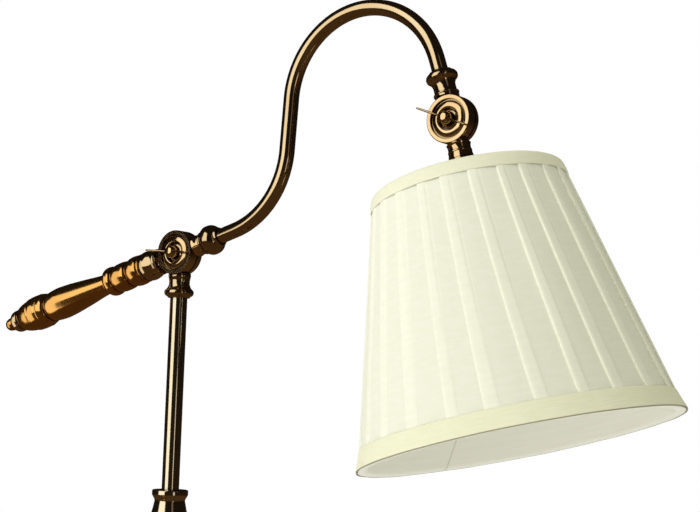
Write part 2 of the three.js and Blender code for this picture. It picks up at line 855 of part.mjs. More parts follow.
function makeArm() {
  const body = new THREE.Group();
  sub('arm_knuckle', makeArmKnuckle(), 'antiqueBrass', body);

  const collar = turned(
    [
      [neckRadius + 0.6, elbowNeckLength + gap],
      [neckRadius + 1.2, elbowNeckLength + 1],
      [neckRadius + 1.2, elbowNeckLength + 2.4],
      [neckRadius + 0.5, elbowNeckLength + 3],
      [beadRadius - 2, elbowNeckLength + 4],
      [beadRadius - 0.5, elbowNeckLength + 6],
      [beadRadius + 0.2, elbowNeckLength + 9],
      [beadRadius, elbowNeckLength + 12.4],
      [beadRadius - 1.4, elbowNeckLength + 15.6],
      [beadRadius - 3.6, elbowNeckLength + 18.4],
      [tubeRadius + 0.9, collarEnd],
    ],
    turnSteps,
  );
  const collarSolid = cut(
    solidOf(collar),
    rod(tubeRadius + boreGap, collarEnd - tubeSeat - gap, collarEnd + 1, poleSteps),
    rod(leadRadius + 0.8, elbowNeckLength, collarEnd, 10),
  );
  const placedCollar = new THREE.Group();
  placedCollar.rotation.y = (90 - armPitch) * degree;
  sub('arm_collar', collarSolid, 'antiqueBrass', placedCollar);
  body.add(placedCollar);

  const length = arm.path.getLength();
  const tubeCurve = new Stretch(arm.path, collarEnd - tubeSeat, length - armNeckLength + tubeSeat);
  const tube = sweepTube(tubeCurve, tubeRadius, tubeRadius - tubeWall, 12, 32);
  sub('arm_tube', tube, 'antiqueBrass', body);

  const leadCurve = new Stretch(arm.path, knuckleRadius + 2, length - knuckleRadius - 2);
  sub('arm_lead', sweepTube(leadCurve, leadRadius, 0, 8, 24), 'leadSleeve', body);

  body.add(makeHandle());
  body.position.z = elbowHeight;

  const end = new THREE.Group();
  const back = arm.heading + 180;
  const knuckle = cut(
    solidOf(backHalf()).add(solidOf(aim(turned(beadNeck(armNeckLength, true)), back))),
    sweepCut(-1),
    aim(rod(tubeRadius + boreGap, armNeckLength - tubeSeat - gap, armNeckLength + 1, poleSteps), back),
    aim(rod(leadRadius + 0.8, 10, armNeckLength, 10), back),
  );
  sub('arm_end_knuckle', knuckle, 'antiqueBrass', end);
  makeFrictionWasher('shade_joint_washer', end);
  makeBolt('shade_joint_bolt', end);
  end.position.copy(shadeKnuckleCentre);
  body.add(end);
  return body;
}

// ---- shade holder: everything is built along +Z as distance from the shade knuckle's centre ----

const shadeAxis = -90 + shadeTilt;

function shadeRadiusAt(d) {
  return shadeTopRadius + ((shadeBottomRadius - shadeTopRadius) * (d - shadeDrop)) / shadeHeight;
}

// A conical shell whose outer face lies a depth inside the shade's outer line.
function shadeShell(depth, thickness, from, to) {
  const outline = [
    [shadeRadiusAt(from) - depth - thickness, from],
    [shadeRadiusAt(from) - depth, from],
    [shadeRadiusAt(to) - depth, to],
    [shadeRadiusAt(to) - depth - thickness, to],
    [shadeRadiusAt(from) - depth - thickness, from],
  ];
  return latheAboutZ(outline, shadeSteps);
}

function wireRing(radius, height) {
  const section = arc(radius, height, frameWire, 0, 360, 4);
  return latheAboutZ(section, shadeSteps);
}

// Straight wire between two points.
function wire(from, to, radius, sides = 6) {
  const run = to.clone().sub(from);
  const bar = rod(radius, 0, run.length(), sides);
  const turn = new THREE.Quaternion().setFromUnitVectors(new THREE.Vector3(0, 0, 1), run.normalize());
  return bar.applyQuaternion(turn).translate(from.x, from.y, from.z);
}

function around(angle, radius, height) {
  return new THREE.Vector3(radius * Math.cos(angle), radius * Math.sin(angle), height);
}

function makeShade(parent) {
  const top = shadeDrop;
  const bottom = shadeDrop + shadeHeight;
  const coverDepth = bandThickness + gap;
  const wireDepth = coverDepth + coverThickness + gap + frameWire + 0.1;
  const liningDepth = wireDepth + frameWire + gap + 0.1;

  sub('shade_cover', shadeShell(coverDepth, coverThickness, top + 0.6, bottom - 0.6), 'ivoryCloth', parent);
  sub('shade_top_band', shadeShell(0, bandThickness, top, top + topBandWidth), 'bandCloth', parent);
  const bottomBand = shadeShell(0, bandThickness, bottom - bottomBandWidth, bottom);
  sub('shade_bottom_band', bottomBand, 'bandCloth', parent);
  const liningTop = top + 9;
  sub('shade_lining', shadeShell(liningDepth, liningThickness, liningTop, bottom - 1), 'liningCloth', parent);

  const ringTop = top + frameWire + 0.8;
  const ringBottom = bottom - frameWire - 0.8;
  const topRadius = shadeRadiusAt(ringTop) - wireDepth;
  const bottomRadius = shadeRadiusAt(ringBottom) - wireDepth;
  let frame = solidOf(wireRing(topRadius, ringTop)).add(solidOf(wireRing(bottomRadius, ringBottom)));
  for (let i = 0; i < ribCount; i += 1) {
    const angle = ((i + 0.5) / ribCount) * 2 * Math.PI;
    const upper = around(angle, topRadius, ringTop);
    const lower = around(angle, bottomRadius, ringBottom);
    const rib = wire(upper, lower, frameWire - 0.2);
    frame = frame.add(solidOf(rib));
  }
  sub('shade_frame', frame, 'wireWhite', parent);

  const seat = top + spiderDrop;
  const plateBore = holderRadius + boreGap;
  let spider = solidOf(rod(ringNutRadius + 1, seat - frameWire, seat + frameWire, discSteps, plateBore));
  for (let i = 0; i < spiderArms; i += 1) {
    const angle = (i / spiderArms) * 2 * Math.PI;
    const outer = topRadius - frameWire - gap - 0.3;
    const bar = wire(around(angle, ringNutRadius, seat), around(angle, outer, ringTop), frameWire);
    spider = spider.add(solidOf(bar));
  }
  sub('shade_spider', spider, 'wireWhite', parent);
}

function makeLampHolder(parent) {
  const bellTop = shadeNeckLength + gap;
  const bellLow = bellTop + bellHeight;
  const hole = nippleRadius + boreGap;
  const bellOuter = [
    [neckRadius + 1, bellTop],
    [neckRadius + 1.6, bellTop + 4],
    [neckRadius + 4, bellTop + 9],
    [bellRadius - 2, bellTop + 14],
    [bellRadius, bellLow],
  ];
  const bell = [
    [hole, bellTop],
    ...bellOuter,
    [bellRadius - bellWall, bellLow],
    ...bellOuter.slice(1, 4).reverse().map(([r, z]) => [r - bellWall - 0.3, z + 0.8]),
    [hole, bellTop + 2.4],
    [hole, bellTop],
  ];
  sub('holder_bell', latheAboutZ(bell, poleSteps), 'antiqueBrass', parent);

  const nippleEnd = holderTop - 4;
  sub('holder_nipple', rod(nippleRadius, knuckleRadius + 6, nippleEnd, 14, nippleBore), 'zincSteel', parent);

  // The holder is a flanged cup, open downwards, that the shade's ring rests under.
  const end = holderTop + holderLength;
  const holderOutline = [
    [hole, holderTop - 8.5],
    [14, holderTop - 8.5],
    [18, holderTop - 5],
    [flangeRadius, holderTop - 2],
    [flangeRadius, holderTop],
    [holderRadius, holderTop],
    [holderRadius, end],
    [holderRadius - holderWall, end],
    [holderRadius - holderWall, holderTop - 3],
    [13, holderTop - 6.5],
    [hole, holderTop - 6.5],
    [hole, holderTop - 8.5],
  ];
  const switchHole = rod(switchStemRadius + boreGap, 0, holderRadius + 4, 12);
  const holder = cut(solidOf(latheAboutZ(holderOutline, discSteps)), atSwitch(switchHole));
  sub('lamp_holder', holder, 'blackNylon', parent);

  const nutLow = shadeDrop + spiderDrop + frameWire + gap;
  const ringNut = turned(
    [[ringNutRadius - 1, nutLow], [ringNutRadius, nutLow + 1], [ringNutRadius, nutLow + ringNutHeight - 1],
      [ringNutRadius - 1, nutLow + ringNutHeight]],
    discSteps,
    holderRadius + gap,
  );
  sub('shade_ring_nut', ringNut, 'blackNylon', parent);

  const coreTop = holderTop;
  const core = solidOf(rod(coreRadius, coreTop, coreTop + coreLength, turnSteps));
  const coreEnd = coreTop + coreLength;
  const contact = solidOf(turned([[3, coreEnd - 2], [3, coreEnd + 2], [1.6, coreEnd + 3]], 12));
  sub('holder_core', core, 'ceramic', parent);
  const contactClear = contact.subtract(solidOf(rod(4, coreTop - 1, coreTop + coreLength + gap, 12)));
  sub('centre_contact', contactClear, 'goldenBrass', parent);

  const shellBore = bulbCapRadius + gap + 0.2;
  const shellTop = coreTop + coreLength + gap;
  const shell = rod(shellBore + 0.8, shellTop, shellTop + 21, poleSteps, shellBore);
  sub('holder_screw_shell', cut(solidOf(shell), atSwitch(switchHole)), 'goldenBrass', parent);
  return shellTop;
}

// Turns something built along +Z so that it leaves the holder sideways at the switch's height.
function atSwitch(geometry) {
  return geometry.clone().rotateX(Math.PI / 2).translate(0, 0, holderTop + switchDrop);
}

function makeBulb(parent, shellTop) {
  const capTop = shellTop + 3.6;
  const capEnd = capTop + bulbCapLength;
  const cap = turned(
    [[4, capTop], [9.5, capTop + 3], [bulbCapRadius, capTop + 5], [bulbCapRadius, capEnd]],
    turnSteps,
  );
  sub('bulb_cap', cap, 'zincSteel', parent);
  const glassTop = capEnd + gap;
  const centre = glassTop + bulbLength - bulbRadius;
  const skin = (wall) => [
    [bulbCapRadius - 0.4 - wall, glassTop],
    [bulbCapRadius + 0.8 - wall, glassTop + 8],
    [bulbRadius * 0.62 - wall, glassTop + 20],
    ...arc(0, centre, bulbRadius - wall, -36, 90, 6),
  ];
  const glass = [...skin(0), ...skin(bulbWall).reverse(), skin(0)[0]];
  sub('bulb_glass', latheAboutZ(glass, poleSteps), 'opalGlass', parent);
}

function makeSwitchKey() {
  const key = new THREE.Group();
  const start = coreRadius + 1.6;
  const stem = rod(switchStemRadius, start, switchReach - 8, 12);
  const grip = turned(
    [[3.4, switchReach - 12], [4.6, switchReach - 10], [4.6, switchReach - 2], [3.6, switchReach]],
    14,
  );
  const whole = solidOf(stem).add(solidOf(grip));
  const mesh = sub('switch_key', whole, 'antiqueBrass', key);
  mesh.rotation.x = Math.PI / 2;
  mesh.position.z = holderTop + switchDrop;
  return key;
}

function makeShadeHolder() {
  const place = new THREE.Group();
  place.position.set(shadeKnuckleCentre.x, 0, elbowHeight + shadeKnuckleCentre.z);
  const knuckle = cut(
    solidOf(frontHalf()).add(solidOf(aim(turned(shadeNeckLine()), shadeAxis))),
    sweepCut(1),
    aim(rod(nippleRadius + boreGap, knuckleRadius + 5.7, shadeNeckLength + 1, 14), shadeAxis),
    aim(rod(leadRadius + 0.8, 10, shadeNeckLength, 12), shadeAxis),
  );
  sub('shade_knuckle', knuckle, 'antiqueBrass', place);

  const hung = new THREE.Group();
  hung.rotation.y = (90 - shadeAxis) * degree;
  const shellTop = makeLampHolder(hung);
  makeBulb(hung, shellTop);
  makeShade(hung);
  hung.add(makeSwitchKey());
  place.add(hung);
  return place;
}

function shadeNeckLine() {
  return [
    [neckRadius, neckStart],
    [neckRadius + 0.7, knuckleRadius + 0.5],
    [neckRadius - 0.1, knuckleRadius + 3.9],
    [neckRadius, knuckleRadius + 5.9],
    [neckRadius + 0.7, knuckleRadius + 8.9],
    [neckRadius + 1.2, shadeNeckLength],
  ];
}

// ---- assembly ----

const elbowWingTurn = 3.6; // degrees of the wings from level at rest
const shadeWingTurn = 20.1;

lamp.add(makeBase());
lamp.add(makeLowerPole());
lamp.add(makeVase());
lamp.add(makeLockScrew());
lamp.add(makeUpperPole());
lamp.add(makePoleKnuckle());
lamp.add(makeArm());
lamp.add(makeShadeHolder());
makeWingNut('elbow_wing_nut', elbowWingTurn, lamp).position.set(0, 0, elbowHeight);
makeWingNut('shade_wing_nut', shadeWingTurn, lamp).position.set(
  shadeKnuckleCentre.x,
  0,
  elbowHeight + shadeKnuckleCentre.z,
);

export default lamp;
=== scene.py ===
# Looks of the pharmacy floor lamp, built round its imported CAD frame. Lengths below are millimetres
# unless a name says otherwise; mm turns them into the scene's metres.
import json
from math import radians

import bpy
import bmesh
import numpy as np
from mathutils import Matrix, Vector

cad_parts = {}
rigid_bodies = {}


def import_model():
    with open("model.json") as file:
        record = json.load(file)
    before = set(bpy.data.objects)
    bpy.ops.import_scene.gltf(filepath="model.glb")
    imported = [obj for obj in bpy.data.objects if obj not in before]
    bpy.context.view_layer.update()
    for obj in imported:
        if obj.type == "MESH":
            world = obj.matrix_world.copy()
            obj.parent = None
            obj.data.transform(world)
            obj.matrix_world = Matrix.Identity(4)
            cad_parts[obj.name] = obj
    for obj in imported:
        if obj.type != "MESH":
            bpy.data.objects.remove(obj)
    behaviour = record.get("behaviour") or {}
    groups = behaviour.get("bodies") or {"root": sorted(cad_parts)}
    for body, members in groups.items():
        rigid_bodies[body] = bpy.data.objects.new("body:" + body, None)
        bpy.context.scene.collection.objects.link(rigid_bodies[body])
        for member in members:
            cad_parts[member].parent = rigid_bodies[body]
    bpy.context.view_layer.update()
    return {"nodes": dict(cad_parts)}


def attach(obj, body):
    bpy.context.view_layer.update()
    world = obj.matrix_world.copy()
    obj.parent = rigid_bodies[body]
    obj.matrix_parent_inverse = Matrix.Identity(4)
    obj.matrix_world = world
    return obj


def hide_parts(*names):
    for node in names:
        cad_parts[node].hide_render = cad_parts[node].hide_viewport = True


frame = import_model()
mm = 0.001
print("frame loaded:", len(frame["nodes"]), "CAD nodes")

# places on the lamp

across = np.array([0.0, 1.0, 0.0])
upward = np.array([0.0, 0.0, 1.0])


def heading(pitch):
    # unit vector in the XZ plane, pitch degrees above +X
    return np.array([np.cos(radians(pitch)), 0.0, np.sin(radians(pitch))])


place = {
    "hubTop": 42.3,
    "lowerPole": (42.6, 922.6),
    "vaseFoot": 867.6,
    "vaseRim": 979.6,
    "lockHeight": 937.6,
    "upperPole": (723.6, 1167.6),
    "elbow": 1198.6,
    "armPitch": 16.8,
    "armLine": (67.5, 69.9, 46.5, 158.2, 56.2),  # straight, bend, straight, bend, straight
    "bendRadius": 78.0,
    "shadeTilt": 14.8,
}
elbowCentre = np.array([0.0, 0.0, place["elbow"]])


def armLine(start, end, count):
    # Points and headings along the arm's centre line between two distances: each straight adds
    # length times heading, each bend turns the heading evenly round a centre beside the line.
    straightA, sweepA, rise, sweepB, straightB = place["armLine"]
    radius = place["bendRadius"]
    lengths = [straightA, radius * radians(sweepA), rise, radius * radians(sweepB), straightB]
    turns = [0, radians(sweepA), 0, -radians(sweepB), 0]
    marks = np.concatenate([[0], np.cumsum(lengths)])
    fine = np.linspace(0, marks[-1], 4001)
    angle = radians(place["armPitch"]) + np.interp(fine, marks, np.concatenate([[0], np.cumsum(turns)]))
    step = np.gradient(fine)
    x = np.concatenate([[0], np.cumsum((np.cos(angle) * step)[:-1])])
    z = np.concatenate([[0], np.cumsum((np.sin(angle) * step)[:-1])])
    at = np.linspace(start, marks[-1] + end if end <= 0 else end, count)
    spots = np.stack([np.interp(at, fine, x), 0 * at, np.interp(at, fine, z)], 1)
    return spots + elbowCentre, np.interp(at, fine, angle)


armEnds, armAngles = armLine(0, 0, 2)
jointCentre = armEnds[1]
armDown = np.degrees(armAngles[1])
shadeAxis = heading(-90 + place["shadeTilt"])

# surfaces as numpy grids


def fairLine(points, spacing=0.9):
    # Cubic curve through [radius, distance] points: the slope at each point is the harmonic mean of
    # its neighbours' slopes, and level where the line turns back. A repeated point is a corner.
    points = np.array(points, float)
    corners = np.where(np.linalg.norm(np.diff(points, axis=0), axis=1) < 1e-6)[0] + 1
    runs = []
    for run in np.split(points, corners):
        if len(run) < 3:
            runs.append(run)
            continue
        chord = np.linalg.norm(np.diff(run, axis=0), axis=1)
        t = np.concatenate([[0], np.cumsum(chord)])
        slope = np.diff(run, axis=0) / chord[:, None]
        product = slope[:-1] * slope[1:]
        total = slope[:-1] + slope[1:]
        middle = np.where(product > 0, 2 * product / np.where(abs(total) < 1e-9, 1, total), 0)
        tangent = np.vstack([slope[:1], middle, slope[-1:]])
        count = max(int(t[-1] / spacing), 2 * len(run))
        at = np.linspace(0, t[-1], count)
        k = np.clip(np.searchsorted(t, at, side="right") - 1, 0, len(chord) - 1)
        h = chord[k][:, None]
        w = (at - t[k])[:, None] / h
        runs.append(
            run[k] * (1 + 2 * w) * (1 - w) ** 2
            + run[k + 1] * w * w * (3 - 2 * w)
            + h * tangent[k] * w * (1 - w) ** 2
            + h * tangent[k + 1] * w * w * (w - 1)
        )
    return np.vstack(runs)


def gridShell(points, u, v, wrapRows=False, wrapCols=True):
    # Quads between neighbouring points of a rows by columns grid; u runs over columns, v over rows.
    # Open ends of a wrapped grid are closed by a fan round the end row's middle.
    rows, cols = points.shape[:2]
    i, j = np.meshgrid(
        np.arange(rows if wrapRows else rows - 1), np.arange(cols if wrapCols else cols - 1), indexing="ij"
    )
    i, j = i.ravel(), j.ravel()
    up, over = (i + 1) % rows, (j + 1) % cols
    quads = np.stack([i * cols + j, i * cols + over, up * cols + over, up * cols + j], 1)
    uLine = np.append(u, 2 * u[-1] - u[-2])
    vLine = np.append(v, 2 * v[-1] - v[-2])
    quadUv = np.stack(
        [np.stack([uLine[j + a], vLine[i + b]], 1) for a, b in ((0, 0), (1, 0), (1, 1), (0, 1))], 1
    )
    flat = points.reshape(-1, 3)
    tris = np.zeros((0, 3), int)
    triUv = np.zeros((0, 3, 2))
    if wrapCols and not wrapRows:
        j = np.arange(cols)
        for row, flip in ((0, True), (rows - 1, False)):
            hub = len(flat)
            flat = np.vstack([flat, points[row].mean(0)])
            fan = np.stack([row * cols + j, row * cols + (j + 1) % cols, np.full(cols, hub)], 1)
            fanUv = np.stack([np.stack([uLine[j + a], np.full(cols, vLine[row])], 1) for a in (0, 1, 0)], 1)
            tris = np.vstack([tris, fan[:, ::-1] if flip else fan])
            triUv = np.vstack([triUv, fanUv[:, ::-1] if flip else fanUv])
    return {"points": flat, "quads": quads, "tris": tris, "quadUv": quadUv, "triUv": triUv}


def sideways(along):
    # two unit vectors square to a direction, chosen so that the three are right-handed
    first = np.cross(along, across)
    if np.linalg.norm(first) < 1e-6:
        first = np.array([1.0, 0.0, 0.0])
    first = first / np.linalg.norm(first)
    return first, np.cross(along, first)


def turned(line, centre, along, steps=72, bore=0.0, loop=False, fair=True):
    # Profile r(s) turned about an axis: centre + s * axis + r * (cos a, sin a) across it.
    # A bore closes the profile through the hole; loop says that it is closed already.
    line = fairLine(line) if fair else np.array(line, float)
    if bore > 0:
        line = np.vstack([[bore, line[0, 1]], line, [bore, line[-1, 1]]])
    keep = np.append(True, np.linalg.norm(np.diff(line, axis=0), axis=1) > 1e-6)
    line = line[keep]
    first, second = sideways(along)
    angle = np.linspace(0, 2 * np.pi, steps, endpoint=False)
    ring = np.cos(angle)[:, None] * first + np.sin(angle)[:, None] * second
    points = centre + line[:, 1][:, None, None] * along + line[:, 0][:, None, None] * ring
    reach = np.concatenate([[0], np.cumsum(np.linalg.norm(np.diff(line, axis=0), axis=1))])
    closed = bore > 0 or loop
    if not closed:
        onAxis = line[:, 0] < 1e-6
        points, reach = points[~onAxis], reach[~onAxis]
    shell = gridShell(points, angle / (2 * np.pi), reach, wrapRows=closed)
    if not closed:
        ends = [line[0, 1], line[-1, 1]]
        shell["points"][-2:] = [centre + s * along for s in ends]
    return shell


def drum(radius, start, end):
    # profile of a plain cylinder between two distances
    return [[0, start], [radius, start], [radius, start], [radius, end], [radius, end], [0, end]]


def pipe(spots, angles, outer, inner, steps=40):
    # Ring of the section carried along a line in the XZ plane, outside there and inside back:
    # spot + radius * (cos a * in-plane normal + sin a * Y).
    normal = np.stack([-np.sin(angles), 0 * angles, np.cos(angles)], 1)
    a = np.linspace(0, 2 * np.pi, steps, endpoint=False)
    ring = np.cos(a)[None, :, None] * normal[:, None, :] + np.sin(a)[None, :, None] * across
    out = spots[:, None, :] + outer * ring
    reach = np.concatenate([[0], np.cumsum(np.linalg.norm(np.diff(spots, axis=0), axis=1))])
    if inner <= 0:
        return gridShell(out, a / (2 * np.pi), reach)
    back = spots[::-1, None, :] + inner * ring[::-1]
    reach = np.append(reach, reach[-1] + reach)
    return gridShell(np.vstack([out, back]), a / (2 * np.pi), reach, wrapRows=True)


def rodBetween(start, end, radius, steps=16):
    # straight round wire with rounded ends from start to end
    run = end - start
    length = np.linalg.norm(run)
    line = [[0, -0.6 * radius], [0.7 * radius, -0.4 * radius], [radius, 0], [radius, 0]]
    line += [[radius, length], [radius, length], [0.7 * radius, length + 0.4 * radius]]
    line += [[0, length + 0.6 * radius]]
    return turned(line, start, run / length, steps)


# turning shells into pieces


def meshOf(name, shells):
    # one mesh from several closed shells, each turned outwards by the sign of its volume
    points, faces, uvs, base = [], [], [], 0
    for shell in shells:
        p, q, t = shell["points"], shell["quads"], shell["tris"]
        corners = np.vstack([q[:, [0, 1, 2]], q[:, [0, 2, 3]], t])
        a, b, c = (p[corners[:, k]] - p.mean(0) for k in range(3))
        outward = np.einsum("ij,ij->i", a, np.cross(b, c)).sum() >= 0 or shell.get("open", False)
        order = slice(None) if outward else slice(None, None, -1)
        points.append(p * mm)
        faces += (q[:, order] + base).tolist() + (t[:, order] + base).tolist()
        uvs += [shell["quadUv"][:, order].reshape(-1, 2), shell["triUv"][:, order].reshape(-1, 2)]
        base += len(p)
    mesh = bpy.data.meshes.new(name)
    mesh.from_pydata(np.vstack(points).tolist(), [], faces)
    layer = mesh.uv_layers.new(name="turning")
    layer.data.foreach_set("uv", np.vstack(uvs).astype(np.float32).ravel())
    mesh.shade_smooth()
    mesh.set_sharp_from_angle(angle=radians(38))
    mesh.update()
    return mesh


def piece(name, shells, material, body, *nodes, slot=None):
    mesh = meshOf(name, shells if isinstance(shells, list) else [shells])
    return pieceOf(name, mesh, material, body, *nodes, slot=slot)


def pieceOf(name, mesh, material, body, *nodes, slot=None):
    thing = bpy.data.objects.new(name, mesh)
    bpy.context.scene.collection.objects.link(thing)
    mesh.materials.clear()
    mesh.materials.append(material)
    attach(thing, body)
    if nodes:
        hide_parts(*nodes)
    return thing


def carved(shell, *cutters):
    # mesh of one shell with others cut away from it
    scene = bpy.context.scene.collection.objects
    kept = bpy.data.objects.new("kept", meshOf("kept", [shell]))
    scene.link(kept)
    tools = []
    for cutter in cutters:
        tool = bpy.data.objects.new("tool", meshOf("tool", [cutter]))
        scene.link(tool)
        step = kept.modifiers.new("cut", "BOOLEAN")
        step.operation, step.solver, step.object = "DIFFERENCE", "EXACT", tool
        tools.append(tool)
    bpy.context.view_layer.update()
    result = bpy.data.meshes.new_from_object(kept.evaluated_get(bpy.context.evaluated_depsgraph_get()))
    for thing in [kept, *tools]:
        bpy.data.objects.remove(thing)
    return result


def joined(name, *meshes):
    bm = bmesh.new()
    for mesh in meshes:
        bm.from_mesh(mesh)
    result = bpy.data.meshes.new(name)
    bm.to_mesh(result)
    bm.free()
    result.shade_smooth()
    result.set_sharp_from_angle(angle=radians(38))
    return result


# finishes


def linear(hexColour, alpha=1.0):
    # sRGB hex to the linear values that shaders take
    value = np.array([int(hexColour[k : k + 2], 16) / 255 for k in (1, 3, 5)])
    value = np.where(value <= 0.04045, value / 12.92, ((value + 0.055) / 1.055) ** 2.4)
    return (*value.tolist(), alpha)


def add(tree, kind, inputs=None, **settings):
    # adds one node, sets its settings, and links or sets its inputs
    node = tree.nodes.new("ShaderNode" + kind)
    for key, value in settings.items():
        setattr(node, key, value)
    for key, value in (inputs or {}).items():
        if isinstance(value, bpy.types.NodeSocket):
            tree.links.new(value, node.inputs[key])
        else:
            node.inputs[key].default_value = value
    return node


def newMaterial(name):
    material = bpy.data.materials.new(name)
    material.use_nodes = True
    tree = material.node_tree
    tree.nodes.clear()
    return material, tree


def ramp(tree, factor, *stops):
    node = add(tree, "ValToRGB", {"Fac": factor})
    node.color_ramp.elements[0].position, node.color_ramp.elements[0].color = stops[0]
    node.color_ramp.elements[1].position, node.color_ramp.elements[1].color = stops[-1]
    for position, colour in stops[1:-1]:
        node.color_ramp.elements.new(position).color = colour
    return node.outputs["Color"]


def grey(value):
    return (value, value, value, 1.0)


def noise(tree, vector, detail, size=None, **settings):
    # noise whose features are about size mm across, or are sized by the mapping before it
    scale = 1.0 if size is None else 1 / (size * mm)
    node = add(tree, "TexNoise", {"Vector": vector, "Scale": scale, "Detail": detail}, **settings)
    return node.outputs["Fac"]


def blend(tree, factor, first, second, **settings):
    # mix of two colours
    inputs = {"Factor": factor, "A": first, "B": second}
    return add(tree, "Mix", inputs, data_type="RGBA", **settings).outputs["Result"]


def metalFinish(name, look):
    # Metal under clear lacquer: slow patches shift its colour, fine lines left by the lathe or the
    # brush break up its gloss, specks dull it where it is handled, and ambient occlusion darkens the
    # grooves as painted shade, partly standing for a tarnished finish.
    material, tree = newMaterial(name)
    spot = add(tree, "TexCoord").outputs
    lineSource = spot["UV"] if look["lathe"] else spot["Object"]
    stretch = look["lineStretch"]
    lines = add(tree, "Mapping", {"Vector": lineSource, "Scale": stretch})
    brushed = noise(tree, lines.outputs[0], 4.0)
    patch = noise(tree, spot["Object"], 3.0, look["patch"])
    speck = noise(tree, spot["Object"], 5.0, look["speck"])
    colour = ramp(tree, patch, (0.35, linear(look["deep"])), (0.65, linear(look["colour"])))
    # painted shade: the base colour darkens where ambient occlusion finds grooves and recesses
    recessShade = add(tree, "AmbientOcclusion", {"Distance": 4 * mm}, samples=6).outputs["AO"]
    shadeAndTarnish = ramp(tree, recessShade, (0.3, grey(0.1)), (0.75, grey(1.0)))
    colour = blend(tree, 1.0, colour, shadeAndTarnish, blend_type="MULTIPLY")
    low, high = look["roughness"]
    toned = ramp(tree, speck, (0.4, grey(0.0)), (0.72, grey(1.0)))
    grain = blend(tree, 0.5, toned, brushed)
    rough = add(tree, "MapRange", {"Value": grain, "To Min": low, "To Max": high})
    bump = add(tree, "Bump", {"Height": brushed, "Strength": look["bump"], "Distance": 0.05 * mm})
    shader = add(
        tree,
        "BsdfPrincipled",
        {
            "Base Color": colour,
            "Metallic": 1.0,
            "Roughness": rough.outputs[0],
            "Normal": bump.outputs[0],
            "Coat Weight": look["coat"],
            "Coat Roughness": 0.08,
        },
    )
    add(tree, "OutputMaterial", {"Surface": shader.outputs[0]})
    return material


def solidFinish(name, look):
    # Plain surface: base colour with slow shifts, and a grain that roughens and lifts it. A glow is
    # only for the studio's floor.
    material, tree = newMaterial(name)
    spot = add(tree, "TexCoord").outputs["Object"]
    patch = noise(tree, spot, 3.0, look["patch"])
    grain = noise(tree, spot, 4.0, look["grain"])
    colour = ramp(tree, patch, (0.3, linear(look["deep"])), (0.7, linear(look["colour"])))
    low, high = look["roughness"]
    rough = add(tree, "MapRange", {"Value": grain, "To Min": low, "To Max": high})
    bump = add(tree, "Bump", {"Height": grain, "Strength": look["bump"], "Distance": look["lift"] * mm})
    shader = add(
        tree,
        "BsdfPrincipled",
        {
            "Base Color": colour,
            "Metallic": look.get("metallic", 0.0),
            "Roughness": rough.outputs[0],
            "Normal": bump.outputs[0],
            "IOR": look.get("ior", 1.5),
            "Sheen Weight": look.get("sheen", 0.0),
            "Sheen Roughness": 0.5,
            "Transmission Weight": look.get("clear", 0.0),
            "Subsurface Weight": look.get("milk", 0.0),
            "Subsurface Scale": 3 * mm,
            "Emission Color": linear("#F4F3FF"),
            "Emission Strength": look.get("glow", 0.0),
        },
    )
    add(tree, "OutputMaterial", {"Surface": shader.outputs[0]})
    return material


